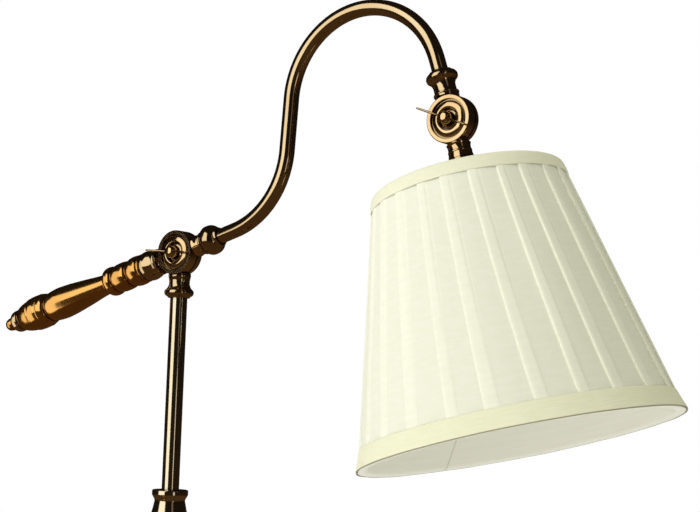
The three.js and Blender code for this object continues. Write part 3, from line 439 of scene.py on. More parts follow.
turnedLines = (3.0, 1.6, 1.0)  # along the turning's UV: slow round the piece, one line every 0.6 mm
finish = {
    # lacquered antique brass of poles, tube and knuckles: near black where it reflects the dark room,
    # cream where it meets a light
    "antique": metalFinish(
        "lacqueredAntiqueBrass",
        {"colour": "#D1BB94", "deep": "#C4AA80", "roughness": (0.08, 0.14), "patch": 90, "speck": 1.4,
         "lathe": True, "lineStretch": turnedLines, "bump": 0.03, "coat": 0.15},
    ),
    # the poles' and vase's brass: a paler copy of the antique brass, a painted highlight tone that
    # makes the poles' reflections clip to cream as under brighter light
    "pale": metalFinish(
        "paleLacqueredBrass",
        {"colour": "#D8CDB0", "deep": "#CBBD9A", "roughness": (0.07, 0.13), "patch": 120, "speck": 1.4,
         "lathe": True, "lineStretch": turnedLines, "bump": 0.05, "coat": 0.2},
    ),
    # polished golden brass of the handle: warmer and brighter than the poles, a copy whose orange
    # highlights partly paint the handle's dimmer light
    "golden": metalFinish(
        "polishedGoldenBrass",
        {"colour": "#E0AC60", "deep": "#D29C50", "roughness": (0.13, 0.2), "patch": 60, "speck": 1.2,
         "lathe": True, "lineStretch": turnedLines, "bump": 0.03, "coat": 0.15},
    ),
    # faced rings of the knuckles: turned flat, so finer circles and a rosier tone
    "faced": metalFinish(
        "facedBrass",
        {"colour": "#D6BC8E", "deep": "#CBA978", "roughness": (0.08, 0.14), "patch": 30, "speck": 0.9,
         "lathe": True, "lineStretch": (2.0, 3.0, 1.0), "bump": 0.06, "coat": 0.1},
    ),
    # bright grey plating, faintly brushed along the part
    "zinc": metalFinish(
        "zincPlatedSteel",
        {"colour": "#C4C6C4", "deep": "#AEB1AF", "roughness": (0.28, 0.42), "patch": 12, "speck": 0.8,
         "lathe": False, "lineStretch": (400, 400, 2500), "bump": 0.1, "coat": 0.0},
    ),
    # sand-cast iron: dull, pitted and almost black
    "iron": solidFinish(
        "sandCastIron",
        {"colour": "#4A4744", "deep": "#35322F", "roughness": (0.6, 0.85), "patch": 20, "grain": 1.2,
         "bump": 0.5, "lift": 0.3, "metallic": 0.7},
    ),
    # deep green wool, matt and slightly fuzzy
    "felt": solidFinish(
        "pressedWoolFelt",
        {"colour": "#39473B", "deep": "#29342B", "roughness": (0.9, 1.0), "patch": 6, "grain": 0.5,
         "bump": 0.6, "lift": 0.3, "sheen": 0.4},
    ),
    # satin black with a fine mould grain
    "nylon": solidFinish(
        "mouldedBlackNylon",
        {"colour": "#242221", "deep": "#1B1A19", "roughness": (0.4, 0.55), "patch": 15, "grain": 0.6,
         "bump": 0.15, "lift": 0.05},
    ),
    # hard near-black moulding with a low shine
    "phenolic": solidFinish(
        "mouldedPhenolic",
        {"colour": "#1E1B19", "deep": "#151312", "roughness": (0.18, 0.3), "patch": 20, "grain": 0.8,
         "bump": 0.08, "lift": 0.05},
    ),
    # muted gold sleeve over the leads
    "sleeve": solidFinish(
        "goldLeadSleeve",
        {"colour": "#BE9A4C", "deep": "#A5813A", "roughness": (0.45, 0.6), "patch": 5, "grain": 0.5,
         "bump": 0.2, "lift": 0.05},
    ),
    # glazed off-white body under the contacts
    "ceramic": solidFinish(
        "glazedSteatite",
        {"colour": "#ECE8DE", "deep": "#DDD8CB", "roughness": (0.2, 0.35), "patch": 10, "grain": 0.7,
         "bump": 0.1, "lift": 0.05},
    ),
    # milky white glass with a soft gloss
    "opal": solidFinish(
        "opalGlass",
        {"colour": "#F6F3EA", "deep": "#EFEBE0", "roughness": (0.12, 0.2), "patch": 25, "grain": 2.0,
         "bump": 0.03, "lift": 0.02, "milk": 0.3},
    ),
    # white enamel on wire, slightly uneven
    "wire": solidFinish(
        "whitePaintedWire",
        {"colour": "#E4E2D8", "deep": "#D5D2C5", "roughness": (0.35, 0.5), "patch": 10, "grain": 0.6,
         "bump": 0.15, "lift": 0.05},
    ),
}


def clothFinish(name, look):
    # Thin cotton over a frame: warp threads run with v and weft with u, slubs streak the weave, and
    # a single layer reads greyer than a pleat's three. The threads are drawn 10 times as coarse as
    # real ones, which would be too fine to show.
    material, tree = newMaterial(name)
    uv = add(tree, "TexCoord").outputs["UV"]
    split = add(tree, "SeparateXYZ", {"Vector": uv}).outputs
    warp = add(tree, "Mapping", {"Vector": uv, "Scale": look["warp"]})
    weft = add(tree, "Mapping", {"Vector": uv, "Scale": look["weft"]})
    threadA = noise(tree, warp.outputs[0], 2.0, noise_dimensions="2D")
    threadB = noise(tree, weft.outputs[0], 2.0, noise_dimensions="2D")
    weave = add(tree, "Math", {0: threadA, 1: threadB}, operation="ADD").outputs[0]
    tint = ramp(tree, threadB, (0.3, linear(look["deep"])), (0.7, linear(look["colour"])))
    if look["layers"]:
        # the strip beside each fold ends at a share of the pleat that narrows from top to bottom
        share = add(tree, "Math", {0: split["X"]}, operation="FRACT").outputs[0]
        wide, narrow = look["layers"]
        edge = add(tree, "MapRange", {"Value": split["Y"], "To Min": wide, "To Max": narrow})
        past = add(tree, "Math", {0: share, 1: edge.outputs[0]}, operation="SUBTRACT").outputs[0]
        beyond = add(tree, "MapRange", {"Value": past, "From Min": -0.02, "From Max": 0.02}).outputs[0]
        tint = blend(tree, beyond, tint, linear(look["single"]), blend_type="MULTIPLY")
    if look["hem"]:
        # past this share of the strip the cloth has turned under, and its colour is darkened there as painted
        # shadow
        start, hemShadow = look["hem"]
        ends = {"Value": split["Y"], "From Min": start - 0.01, "From Max": start + 0.01}
        tint = blend(tree, add(tree, "MapRange", ends).outputs[0], tint, linear(hemShadow))
    if look["seam"]:
        # one stitched seam that runs a little aslant from rim to rim: a thin darker line
        base, lean = look["seam"]
        course = add(tree, "Math", {0: split["Y"], 1: lean, 2: base}, operation="MULTIPLY_ADD").outputs[0]
        aside = add(tree, "Math", {0: split["X"], 1: course}, operation="SUBTRACT").outputs[0]
        aside = add(tree, "Math", {0: aside}, operation="ABSOLUTE").outputs[0]
        line = add(tree, "MapRange", {"Value": aside, "From Min": 0.0014, "From Max": 0.0006}).outputs[0]
        tint = blend(tree, line, tint, linear("#E2E0D0"))
    bump = add(tree, "Bump", {"Height": weave, "Strength": look["bump"], "Distance": 0.12 * mm})
    shader = add(
        tree,
        "BsdfPrincipled",
        {
            "Base Color": tint,
            "Roughness": 0.92,
            "Normal": bump.outputs[0],
            "Sheen Weight": 0.15,
            "Sheen Roughness": 0.6,
            "Specular IOR Level": 0.2,
        },
    )
    add(tree, "OutputMaterial", {"Surface": shader.outputs[0]})
    return material


cloth = {
    # thin ivory cotton, a touch greyer where it lies single
    "pleated": clothFinish(
        "ivoryCottonVoile",
        {"colour": "#F5F5EB", "deep": "#F2F2E6", "single": "#F9FAFA", "layers": (0.46, 0.3),
         "seam": None, "hem": None, "warp": (40, 3, 1), "weft": (2, 60, 1), "bump": 0.12},
    ),
    # firmer tape, a shade yellower than the pleats
    "band": clothFinish(
        "ivoryCottonTape",
        {"colour": "#F0F0DE", "deep": "#ECECD6", "layers": None, "seam": None, "hem": None,
         "warp": (700, 4, 1), "weft": (60, 22, 1), "bump": 0.3},
    ),
    # the lower rim's tape, with painted shadow where it turns under
    "hem": clothFinish(
        "ivoryCottonHem",
        {"colour": "#F0F0DA", "deep": "#ECECD2", "layers": None, "seam": None, "hem": (0.55, "#948E74"),
         "warp": (700, 4, 1), "weft": (60, 22, 1), "bump": 0.3},
    ),
    # smooth white cotton with one seam
    "lining": clothFinish(
        "whiteCottonLining",
        {"colour": "#FBFBF5", "deep": "#F7F7EF", "layers": None, "seam": (0.478, -0.15), "hem": None,
         "warp": (200, 3, 1), "weft": (12, 60, 1), "bump": 0.12},
    ),
}

for node in frame["nodes"].values():
    node.data.materials.clear()

cadFinish = {
    "zinc": ["base_washer", "base_clamp_nut", "base_stem", "pole_foot_plug", "swivel_stud", "handle_rod",
             "holder_nipple"],
    "iron": ["base_weight"],
    "nylon": ["vase_guide_bush", "pole_slide_sleeve", "elbow_washer", "shade_joint_washer"],
    "sleeve": ["pole_lead", "arm_lead"],
}
for key, names in cadFinish.items():
    for name in names:
        frame["nodes"][name].data.materials.append(finish[key])
print("finishes made")

# base, pole and vase

base = {
    "radius": 135.0,
    "feltThickness": 2.0,
    "edgeHeight": 14.0,
    "hubRadius": 27.0,
    "wall": 1.6,
    "inletHeight": 9.0,
}


def baseLine():
    # stepped rim, shallow dome, cove and flat hub, from the floor to the middle
    r, floor = base["radius"], base["feltThickness"] + 0.3
    edge, top, hub = floor + base["edgeHeight"], place["hubTop"], base["hubRadius"]
    t = np.linspace(0, 1, 9)[1:]
    domeIn = r - 16 + (hub + 22 - (r - 16)) * t
    dome = np.stack([domeIn, edge + 4.5 + 13 * 0.9 * np.sin(t * np.pi / 2)], 1)
    t = np.linspace(0, 1, 7)[1:]
    low = edge + 4.5 + 13 * 0.9
    cove = np.stack([hub + 22 + (3 - 22) * t, low + (top - 2.5 - low) * t**2], 1)
    rim = [[r, floor], [r, edge - 3], [r, edge - 3], [r - 0.9, edge - 0.9], [r - 3, edge], [r - 3, edge],
           [r - 9, edge], [r - 9, edge], [r - 9.6, edge + 1.6], [r - 10.6, edge + 3.4], [r - 16, edge + 4.5]]
    crown = [[hub + 1, top - 0.4], [hub, top], [hub, top], [5.35, top]]
    return np.vstack([rim, dome, cove, crown])


def wallOf(outer, wall):
    # closed outline of a thin shell: the outer line, then the same line a wall's thickness inside
    outer = fairLine(outer)
    inner = outer[::-1] - [wall, wall]
    inner[:, 0] = np.maximum(inner[:, 0], outer[-1, 0])
    inner[-1, 1] = outer[0, 1]
    return np.vstack([outer, inner])


cover = turned(wallOf(baseLine(), base["wall"]), np.zeros(3), upward, 144, loop=True, fair=False)
inletAt = np.array([0, 0, base["inletHeight"]])
inletHole = turned(drum(5.6, 120, 145), inletAt, -heading(0), 32)
baseMesh = joined("baseCover", carved(cover, inletHole))
pieceOf("baseCover", baseMesh, finish["antique"], "stand", "base_cover", slot="antique_brass")
feltLine = [[0, 0], [130.4, 0], [130.4, 0], [131, 0.6], [131, 1.4], [130.4, 2], [130.4, 2], [0, 2]]
piece("baseFelt", turned(feltLine, np.zeros(3), upward, 128), finish["felt"], "stand", "base_felt",
      slot="felt")
bushLine = [[5.2, 127], [5.2, 135.3], [5.2, 135.3], [6.6, 135.3], [6.6, 135.3], [6.6, 136.6], [6.2, 137.5]]
piece(
    "inletBushing",
    turned(bushLine, inletAt, -heading(0), 40, bore=3.2),
    finish["nylon"], "stand", "cord_inlet_bushing", slot="black_nylon",
)
footLine = [[24, 42.6], [24.6, 43.2], [26, 46.6], [25.6, 49], [22.6, 50.4], [20, 52], [17.6, 57], [16.4, 63],
            [16, 67], [16.2, 69.2], [16.2, 69.2], [17.6, 69.6], [18.9, 71.6], [18.4, 74.6], [16.4, 76.2],
            [14.3, 76.6]]
piece("footCollar", turned(footLine, np.zeros(3), upward, 72, bore=12.85), finish["antique"], "stand",
      "foot_collar", slot="antique_brass")
low, high = place["lowerPole"]
lowerLine = [[12.2, low], [12.5, low + 0.3], [12.5, low + 0.3], [12.5, high - 0.3], [12.5, high - 0.3],
             [12.2, high]]
piece("lowerPole", turned(lowerLine, np.zeros(3), upward, 72, bore=11.0), finish["pale"], "stand",
      "lower_pole", slot="antique_brass")


def vaseLine():
    # lip, ring, belly that swells a third of the way down, waist and the flat-topped rim
    foot, rim = place["vaseFoot"], place["vaseRim"]
    t = np.linspace(0, 1, 13)
    swell = np.sin(np.pi * t ** (np.log(0.5) / np.log(0.62))) ** 1.5
    inner = 15.5 + (14.4 - 15.5) * t
    belly = np.stack([inner + (21.5 - inner) * swell, foot + 12 + (rim - 12 - foot - 12) * t], 1)
    lip = [[15.7, foot], [16.9, foot + 0.9], [17.2, foot + 3.4], [16.6, foot + 6], [15.2, foot + 8],
           [15.2, foot + 8]]
    neck = [[14.2, rim - 11], [14.0, rim - 9.8], [14.6, rim - 8], [15.8, rim - 6], [16.2, rim - 5.2],
            [16.2, rim - 5.2], [16.6, rim - 4.6], [16.6, rim - 0.9], [16.2, rim - 0.3], [15.6, rim],
            [15.6, rim]]
    return np.vstack([lip, belly, neck])


vase = turned(vaseLine(), np.zeros(3), upward, 80, bore=8.5)
lockAt = np.array([0, 0, place["lockHeight"]])
poleHole = turned(drum(12.7, 860, 972), np.zeros(3), upward, 64)
screwHole = turned(drum(3.4, 2, 30), lockAt, -across, 32)
vaseMesh = joined("vaseCollar", carved(vase, poleHole, screwHole))
pieceOf("vaseCollar", vaseMesh, finish["pale"], "stand", "vase_collar", slot="antique_brass")
lockLine = [[0, 8.3], [3, 8.4], [3, 8.4], [3, 23.5], [3, 23.5], [5, 24], [5.1, 25], [4.5, 26.5], [4.8, 28],
            [6.4, 28.6], [7.5, 31], [7.4, 34], [5.6, 37.2], [2.4, 38.4], [0, 38.5]]
piece("heightLockScrew", turned(lockLine, lockAt, -across, 56), finish["golden"], "height_lock",
      "height_lock_screw", slot="polished_brass")
low, high = place["upperPole"]
upperLine = [[7.7, low], [8, low + 0.3], [8, low + 0.3], [8, high - 0.3], [8, high - 0.3], [7.7, high]]
piece("upperPole", turned(upperLine, np.zeros(3), upward, 64, bore=6.8), finish["pale"], "upper_pole_body",
      "upper_pole", slot="antique_brass")
print("stand made")

# knuckles

knuckle = {
    "radius": 20.7,
    "front": 9.8,  # face of the front half from the middle plane
    "back": 10.8,
    "parting": 0.8,  # half of the gap between the halves
    "hole": 3.35,
    "sweep": 21.3,  # radius that the other half needs to turn in
    "sweepDepth": 24.0,
}


def frontDisc(centre):
    # flat outer ring, groove, raised ring that falls gently outwards, and the dish round the nut's hub;
    # distances run along -Y from the middle plane
    f, r, gap, hole = (knuckle[key] for key in ("front", "radius", "parting", "hole"))
    line = [[hole, gap], [r, gap], [r, gap], [r, f - 0.9], [20.5, f - 0.3], [19.9, f], [19.9, f],
            [17.2, f], [17.2, f], [16.9, f - 0.5], [16.8, f - 2.2], [16.8, f - 2.2], [15.5, f - 2.2],
            [15.5, f - 2.2], [15.3, f - 1.3], [14.7, f - 0.75], [13.4, f - 0.2], [12, f + 0.2],
            [10.8, f + 0.35], [9.9, f + 0.1], [9.5, f - 0.8], [9.3, f - 4], [9.3, f - 4], [hole, f - 4]]
    return turned(line, centre, -across, 96, bore=hole)


def backDisc(centre):
    # cylinder wall that rounds over to a flat dome behind
    b, r, gap, hole = (knuckle[key] for key in ("back", "radius", "parting", "hole"))
    line = [[hole, gap], [r, gap], [r, gap], [r, b - 6.4], [20.5, b - 5], [19.6, b - 3.2],
            [17.6, b - 1.6], [14, b - 0.5], [9.4, b], [9.4, b], [hole, b]]
    return turned(line, centre, across, 96, bore=hole)


def sweptSpace(centre, side):
    # the other half's swept space: behind the front half for side 1, before the back half for -1
    line = drum(knuckle["sweep"], -knuckle["parting"], knuckle["sweepDepth"])
    return turned(line, centre, side * across, 96)


def neckMesh(line, centre, along, side, *bores):
    # a neck turned about its own line, less the other half's space and bores of (radius, start, end)
    closed = [[0, line[0][1]], line[0], *line, line[-1], [0, line[-1][1]]]
    shell = turned(closed, centre, along, 64)
    holes = [turned(drum(*bore), centre, along, 48) for bore in bores]
    return carved(shell, sweptSpace(centre, side), *holes)


def beadNeck(length, ring):
    # waisted neck, with a thin ring near the knuckle if asked, flaring to a round bead at its end
    n = 9.6
    start = [[n + 0.2, 17.2], [n + 0.9, 21.2], [n + 0.7, 22.6]]
    if ring:
        start += [[n + 0.9, 22.8], [n + 0.9, 22.8], [n + 1.4, 23.2], [n + 1.5, 23.7], [n + 1.3, 24.4],
                  [n + 0.4, 24.7], [n + 0.4, 24.7]]
    return start + [[n + 0.1, 26], [n, length - 13.4], [n + 0.5, length - 11.2], [n + 1.6, length - 9],
                    [n + 2.4, length - 8.1], [n + 2.4, length - 8.1], [n + 3.3, length - 7.4],
                    [n + 4, length - 6.1], [n + 4.1, length - 4.8], [n + 3.7, length - 3.2],
                    [n + 2.4, length - 1.8], [n + 1.2, length - 1.2], [n + 1.2, length - 1.2],
                    [n + 0.4, length]]


def boltShell(centre):
    line = [[0, -13.5], [3, -13.5], [3, -13.5], [3, 11.1], [3, 11.1], [7.2, 11.1], [7.2, 11.1], [7.4, 11.5],
            [7, 12.6], [5.4, 13.8], [3, 14.5], [0, 14.7]]
    return turned(line, centre, across, 56)


down = -upward
pieceOf(
    "poleKnuckle",
    joined("poleKnuckle", meshOf("disc", [backDisc(elbowCentre)]),
           neckMesh(beadNeck(42, False), elbowCentre, down, -1, (8.35, 30.7, 44), (4.5, 10, 31))),
    finish["antique"], "pole_neck", "pole_knuckle", slot="antique_brass",
)
piece("elbowBolt", boltShell(elbowCentre), finish["golden"], "pole_neck", "elbow_bolt", slot="polished_brass")

armWay = heading(place["armPitch"])
armStub = [[9.3, 17.2], [9.3, 20.8], [10.3, 21.5], [9.8, 23], [9.7, 24.6], [9.6, 27.6], [9.1, 29]]
handleStub = [[9.3, 17.2], [9.3, 20.8], [10.4, 21.5], [9.9, 22.6], [9.2, 24]]
armKnuckleMesh = joined(
    "armKnuckle",
    meshOf("disc", [frontDisc(elbowCentre)]),
    neckMesh(armStub, elbowCentre, armWay, 1, (3, 10, 31)),
    neckMesh(handleStub, elbowCentre, -armWay, 1, (4.35, 10, 26)),
)
pieceOf("armKnuckle", armKnuckleMesh, finish["faced"], "arm", "arm_knuckle", slot="antique_brass")
collarLine = [[10.2, 29.3], [10.9, 29.7], [11, 30.6], [10.8, 31.4], [10.2, 31.9], [10.2, 31.9], [11.2, 32.9],
              [13, 34.8], [13.9, 37.6], [13.8, 40.6], [13, 43.4], [11.4, 45.6], [10.2, 47], [10.2, 47],
              [9.4, 47.6], [8.8, 49.5]]
piece("armCollar", turned(collarLine, elbowCentre, armWay, 64, bore=7.35), finish["antique"], "arm",
      "arm_collar", slot="antique_brass")
spots, angles = armLine(37.8, -32.3, 260)
piece("armTube", pipe(spots, angles, 7.0, 5.8, 56), finish["antique"], "arm", "arm_tube",
      slot="antique_brass")
tubeWay = heading(armDown + 180)
pieceOf(
    "armEndKnuckle",
    joined("armEndKnuckle", meshOf("disc", [backDisc(jointCentre)]),
           neckMesh(beadNeck(44.3, True), jointCentre, tubeWay, -1, (7.35, 32, 46), (3, 10, 33))),
    finish["antique"], "arm", "arm_end_knuckle", slot="antique_brass",
)
piece("shadeJointBolt", boltShell(jointCentre), finish["golden"], "arm", "shade_joint_bolt",
      slot="polished_brass")
shadeNeck = [[9.3, 17.2], [9.3, 20.8], [10.4, 21.5], [9.9, 22.6], [9.6, 25], [9.8, 27], [9.8, 27],
             [10.2, 27.5], [10.2, 28.4], [9.9, 28.9], [9.9, 28.9], [10.3, 31], [10.8, 34]]
pieceOf(
    "shadeKnuckle",
    joined("shadeKnuckle", meshOf("disc", [frontDisc(jointCentre)]),
           neckMesh(shadeNeck, jointCentre, shadeAxis, 1, (5.35, 26.4, 36), (3, 10, 27))),
    finish["faced"], "shade_holder", "shade_knuckle", slot="antique_brass",
)

wing = {"span": 52.0, "reach": 20.0, "rootHeight": 9.0, "tipHeight": 4.4, "thickness": 2.2}


def wingShell(centre, side, turn):
    # Ellipses carried from the hub to a rounded tip: the middle line rises as the square root of
    # the way out, height and thickness shrink, and both close to nothing at the tip.
    t = np.linspace(0, 1, 40)
    away = 4.2 + (wing["span"] / 2 - 4.2) * t
    middle = wing["reach"] - 6 * (1 - t) ** 2
    close = np.sqrt(np.clip(1 - ((t - 0.86) / 0.14).clip(0) ** 2, 0, 1))
    tall = (wing["tipHeight"] + (wing["rootHeight"] - wing["tipHeight"]) * (1 - t) ** 2.2) / 2 * close
    thick = wing["thickness"] / 2 * (1 - 0.25 * t) * close
    a = np.linspace(0, 2 * np.pi, 28, endpoint=False)
    outward = heading(turn) * side
    square = np.cross(across, outward)
    bulge = np.sign(np.cos(a)) * abs(np.cos(a)) ** 0.8, np.sign(np.sin(a)) * abs(np.sin(a)) ** 0.7
    points = (
        centre
        + away[:, None, None] * outward
        - (middle[:, None] + tall[:, None] * bulge[0])[..., None] * across
        + (thick[:, None] * bulge[1])[..., None] * square
    )
    return gridShell(points[:-1], a / (2 * np.pi), away[:-1])


def wingNut(name, centre, turn, body, node):
    hub = [[0, 18.7], [2.6, 18.5], [4.4, 17.6], [5.2, 16.2], [5.7, 14], [6.1, 9.6], [6.4, 8.4], [6.4, 8.4],
           [8, 7.7], [8.4, 7.2], [8.4, 6.1], [8.4, 6.1], [3.35, 6.1], [3.35, 6.1], [3.35, 13.8],
           [3.35, 13.8], [0, 13.8]]
    shells = [turned(hub, centre, -across, 56), wingShell(centre, 1, turn), wingShell(centre, -1, turn)]
    piece(name, shells, finish["faced"], body, node, slot="polished_brass")


wingNut("elbowWingNut", elbowCentre, -3.6, "elbow_nut", "elbow_wing_nut")
wingNut("shadeWingNut", jointCentre, -20.1, "shade_nut", "shade_wing_nut")
print("knuckles and arm made")

# turned handle: [radius, distance from the elbow]

handle = {
    "bore": 4.35,
    "pieces": [
        ("handleFerrule", "handle_ferrule", "antique",
         [[11.4, 24.3], [12.4, 25], [12.6, 26.2], [12.2, 27.6], [12.2, 27.6], [12.5, 29.4], [13.2, 31.6],
          [14, 34.8], [14.3, 38], [13.9, 41], [13.1, 42.9], [12.5, 43.2]]),
        ("handleRing", "handle_ring", "golden",
         [[12.8, 43.5], [13.6, 44], [13.8, 44.9], [13.6, 45.8], [12.8, 46.5]]),
        ("handleBarrelInner", "handle_barrel_inner", "golden",
         [[12.6, 46.8], [13.6, 47.6], [14.2, 50], [14.4, 53.4], [13.9, 57.6], [12.8, 61], [12, 62.9]]),
        ("handleBarrelOuter", "handle_barrel_outer", "golden",
         [[12, 63.2], [13, 64], [13.7, 66.8], [13.9, 70.6], [13.8, 74.6], [13.2, 78.6], [12.4, 81.3]]),
        ("handleDisc", "handle_disc", "golden",
         [[12.4, 81.6], [13.4, 82.4], [14.2, 84.4], [14.3, 86.8], [13.7, 89.4], [12.2, 91.6], [10.6, 92.8],
          [9.8, 92.9]]),
        ("handleGrip", "handle_grip", "golden",
         [[9.2, 93.2], [9.6, 96], [10, 100], [10.9, 108], [12.1, 117], [13.3, 127], [14.5, 138],
          [15.4, 149], [15.7, 156], [15.4, 162], [14.8, 167.4], [13.8, 171.4], [12.9, 172.8]]),
        ("handleCap", "handle_cap", "golden",
         [[13.2, 173.1], [15, 174.6], [16, 177.4], [16.4, 180], [16.4, 180], [16.9, 180.6], [16.9, 181.6],
          [16.5, 182.2], [16.5, 182.2], [17, 186], [17, 189.6], [16.5, 193.8], [16.5, 193.8], [16.7, 194.6],
          [16.4, 195.6], [15.9, 196], [15.9, 196], [14.9, 202.6], [13, 209.2], [10.2, 214.1]]),
        ("handleButton", "handle_button", "antique",
         [[9.8, 214.5], [10.9, 215.4], [11.1, 217.6], [10.9, 220.4], [9.7, 222.9]]),
    ],
    "finial": [[0, 223.1], [4.6, 223.2], [4.6, 223.2], [4.4, 224.2], [5, 225.6], [6.2, 227.6], [6.5, 230.3],
               [6, 233], [4.4, 235.4], [2, 236.6], [0, 236.8]],
}
for name, node, look, line in handle["pieces"]:
    slotName = "antique_brass" if look == "antique" else "polished_brass"
    shell = turned(line, elbowCentre, -armWay, 72, bore=handle["bore"])
    piece(name, shell, finish[look], "arm", node, slot=slotName)
finialHole = turned(drum(handle["bore"], 220, 224.6), elbowCentre, -armWay, 40)
finialMesh = joined("handleFinial", carved(turned(handle["finial"], elbowCentre, -armWay, 48), finialHole))
pieceOf("handleFinial", finialMesh, finish["golden"], "arm", "handle_finial", slot="polished_brass")
print("handle made")

# lamp holder and bulb: distances along the shade's axis from the joint's centre

holder = {
    "flangeUnder": 65.3,
    "nippleRadius": 5.35,
    "shadeTop": 56.0,
    "shadeBottom": 272.6,
    "topRadius": 79.8,
    "bottomRadius": 130.6,
}


def hung(line, steps=64, **options):
    return turned(line, jointCentre, shadeAxis, steps, **options)


stem = holder["nippleRadius"]
bellOuter = [[10.6, 34.3], [11, 36], [11.4, 39.6], [13, 43], [15.8, 46.2], [18.8, 48.8], [20.6, 51.6],
             [21, 54.3]]
bellInner = [[r - 1.4, d + 0.6] for r, d in bellOuter]
bell = np.vstack([[[stem, 34.3]], fairLine(bellOuter), fairLine(bellInner)[::-1], [[stem, 35.6]]])
bell = bell[bell[:, 1] <= bellOuter[-1][1]]  # level at the mouth
piece("holderBell", hung(bell, 72, loop=True, fair=False), finish["antique"], "shade_holder", "holder_bell",
      slot="antique_brass")
h = holder["flangeUnder"]
cup = [[stem, h - 8.5], [14, h - 8.5], [17.6, h - 5.4], [22.3, h - 2.4], [22.5, h - 2], [22.5, h],
       [19.4, h], [19.4, h + 49.4], [19, h + 50], [18, h + 50], [17.8, h + 49.6], [17.8, h - 3],
       [13, h - 6.5], [stem, h - 6.5]]
keyCentre = jointCentre + shadeAxis * (h + 30)
keyHole = turned(drum(2.6, 10, 24), keyCentre, -across, 32)
holderMesh = joined("lampHolder", carved(hung(cup, 72, loop=True, fair=False), keyHole))
pieceOf("lampHolder", holderMesh, finish["phenolic"], "shade_holder", "lamp_holder", slot="black_phenolic")
nutFoot = h + 1.7 + 1.4  # above the spider's plate


def ribbedNut(radius, bore, low, high, ribs):
    # Turned ring whose outer radius ripples with the angle, so that fingers can grip it.
    line = [[bore, low], [radius - 1, low], [radius, low + 1], [radius, high - 1], [radius - 1, high],
            [bore, high]]
    shell = turned(line, jointCentre, shadeAxis, ribs * 8, loop=True, fair=False)
    away = shell["points"] - jointCentre
    along = away @ shadeAxis
    radial = away - along[:, None] * shadeAxis
    reach = np.linalg.norm(radial, axis=1)
    first, second = sideways(shadeAxis)
    angle = np.arctan2(radial @ second, radial @ first)
    ripple = np.where(reach > radius - 2, -0.35 * (1 + np.cos(ribs * angle)), 0)
    shell["points"] = shell["points"] + radial / reach[:, None] * ripple[:, None]
    return shell


piece("shadeRingNut", ribbedNut(25, 19.7, nutFoot + 0.3, nutFoot + 7.3, 28), finish["phenolic"],
      "shade_holder", "shade_ring_nut", slot="black_phenolic")
coreLine = [[0, h], [15, h], [15, h], [15, h + 13.4], [14.4, h + 14], [14.4, h + 14], [0, h + 14]]
piece("holderCore", hung(coreLine), finish["ceramic"], "shade_holder", "holder_core", slot="ceramic")
contactLine = [[0, h + 14.3], [3, h + 14.3], [3, h + 14.3], [3, h + 16], [1.6, h + 17], [0, h + 17]]
piece("centreContact", hung(contactLine, 32), finish["golden"], "shade_holder", "centre_contact",
      slot="polished_brass")
t = np.linspace(0, 1, 64)
thread = np.stack([13.9 + 0.2 * np.sin(t * 2 * np.pi * 6), h + 14.6 + 20.7 * t], 1)
shellLine = np.vstack([thread, [[13.5, h + 35.3], [13.5, h + 14.6]]])
piece("holderScrewShell", hung(shellLine, 56, loop=True, fair=False), finish["golden"], "shade_holder",
      "holder_screw_shell", slot="polished_brass")
capTop = h + 14.3 + 3.6
t = np.linspace(0, 1, 90)
capThread = np.stack([12.7 + 0.3 * np.sin(t * 2 * np.pi * 5), capTop + 5.5 + 17 * t], 1)
capLine = np.vstack([[[0, capTop], [4, capTop], [4.2, capTop + 0.8], [9.5, capTop + 3], [12.4, capTop + 4.8]],
                     capThread, [[13, capTop + 23], [13, capTop + 24], [0, capTop + 24]]])
piece("bulbCap", hung(capLine, 56, fair=False), finish["zinc"], "shade_holder", "bulb_cap", slot="zinc_steel")
glassTop = capTop + 24.3


def bulbLine(wall):
    # neck that widens to a ball of 30 mm radius
    a = np.radians(np.linspace(-40, 90, 26))
    ball = np.stack([(30 - wall) * np.cos(a), glassTop + 50 + (30 - wall) * np.sin(a)], 1)
    neck = fairLine([[12.4 - wall, glassTop], [13.2 - wall, glassTop + 7], [16.4 - wall, glassTop + 16],
                     [20.6 - wall, glassTop + 25.5]], 1.5)
    return np.vstack([neck, ball])


glass = np.vstack([bulbLine(0), bulbLine(1)[::-1]])
glass[:, 0] = np.maximum(glass[:, 0], 0.02)
piece("bulbGlass", hung(glass, 64, loop=True, fair=False), finish["opal"], "shade_holder", "bulb_glass",
      slot="opal_glass")
keyLine = [[0, 16.6], [2.2, 16.7], [2.2, 16.7], [2.2, 28], [2.2, 28], [3.2, 28], [4.2, 29], [4.6, 30.2],
           [4.6, 30.2], [4.3, 31], [4.6, 31.8], [4.6, 37.8], [4.2, 39.4], [3.2, 40], [0, 40.2]]
piece("switchKey", turned(keyLine, keyCentre, -across, 48), finish["antique"], "switch", "switch_key",
      slot="antique_brass")
print("lamp holder made")

# shade

shade = {
    "pleats": 24,
    "foldTop": -13.8,  # degrees of the first fold from -Y, at the top rim
    "foldBottom": -19.5,
    "foldHeight": 2.1,  # how far a folded edge stands above the cloth it lies on
    "clothDepth": 2.35,  # single layer below the bands' outer face
    "stray": 1.1,  # degrees that folds stray from even spacing
    "topBand": 12.0,
    "bottomBand": 16.5,
    "thickness": 0.5,
    "tapeThickness": 0.6,
    "liningThickness": 0.4,
}
fromFront = -across
fromSide = np.cross(shadeAxis, fromFront)


def shadeRadius(d):
    part = (d - holder["shadeTop"]) / (holder["shadeBottom"] - holder["shadeTop"])
    return holder["topRadius"] + (holder["bottomRadius"] - holder["topRadius"]) * part


def onShade(angle, radius, d):
    # point at an angle round the shade's axis, a radius from it and a distance along it
    ring = np.cos(angle)[..., None] * fromFront + np.sin(angle)[..., None] * fromSide
    return jointCentre + d[..., None] * shadeAxis + radius[..., None] * ring


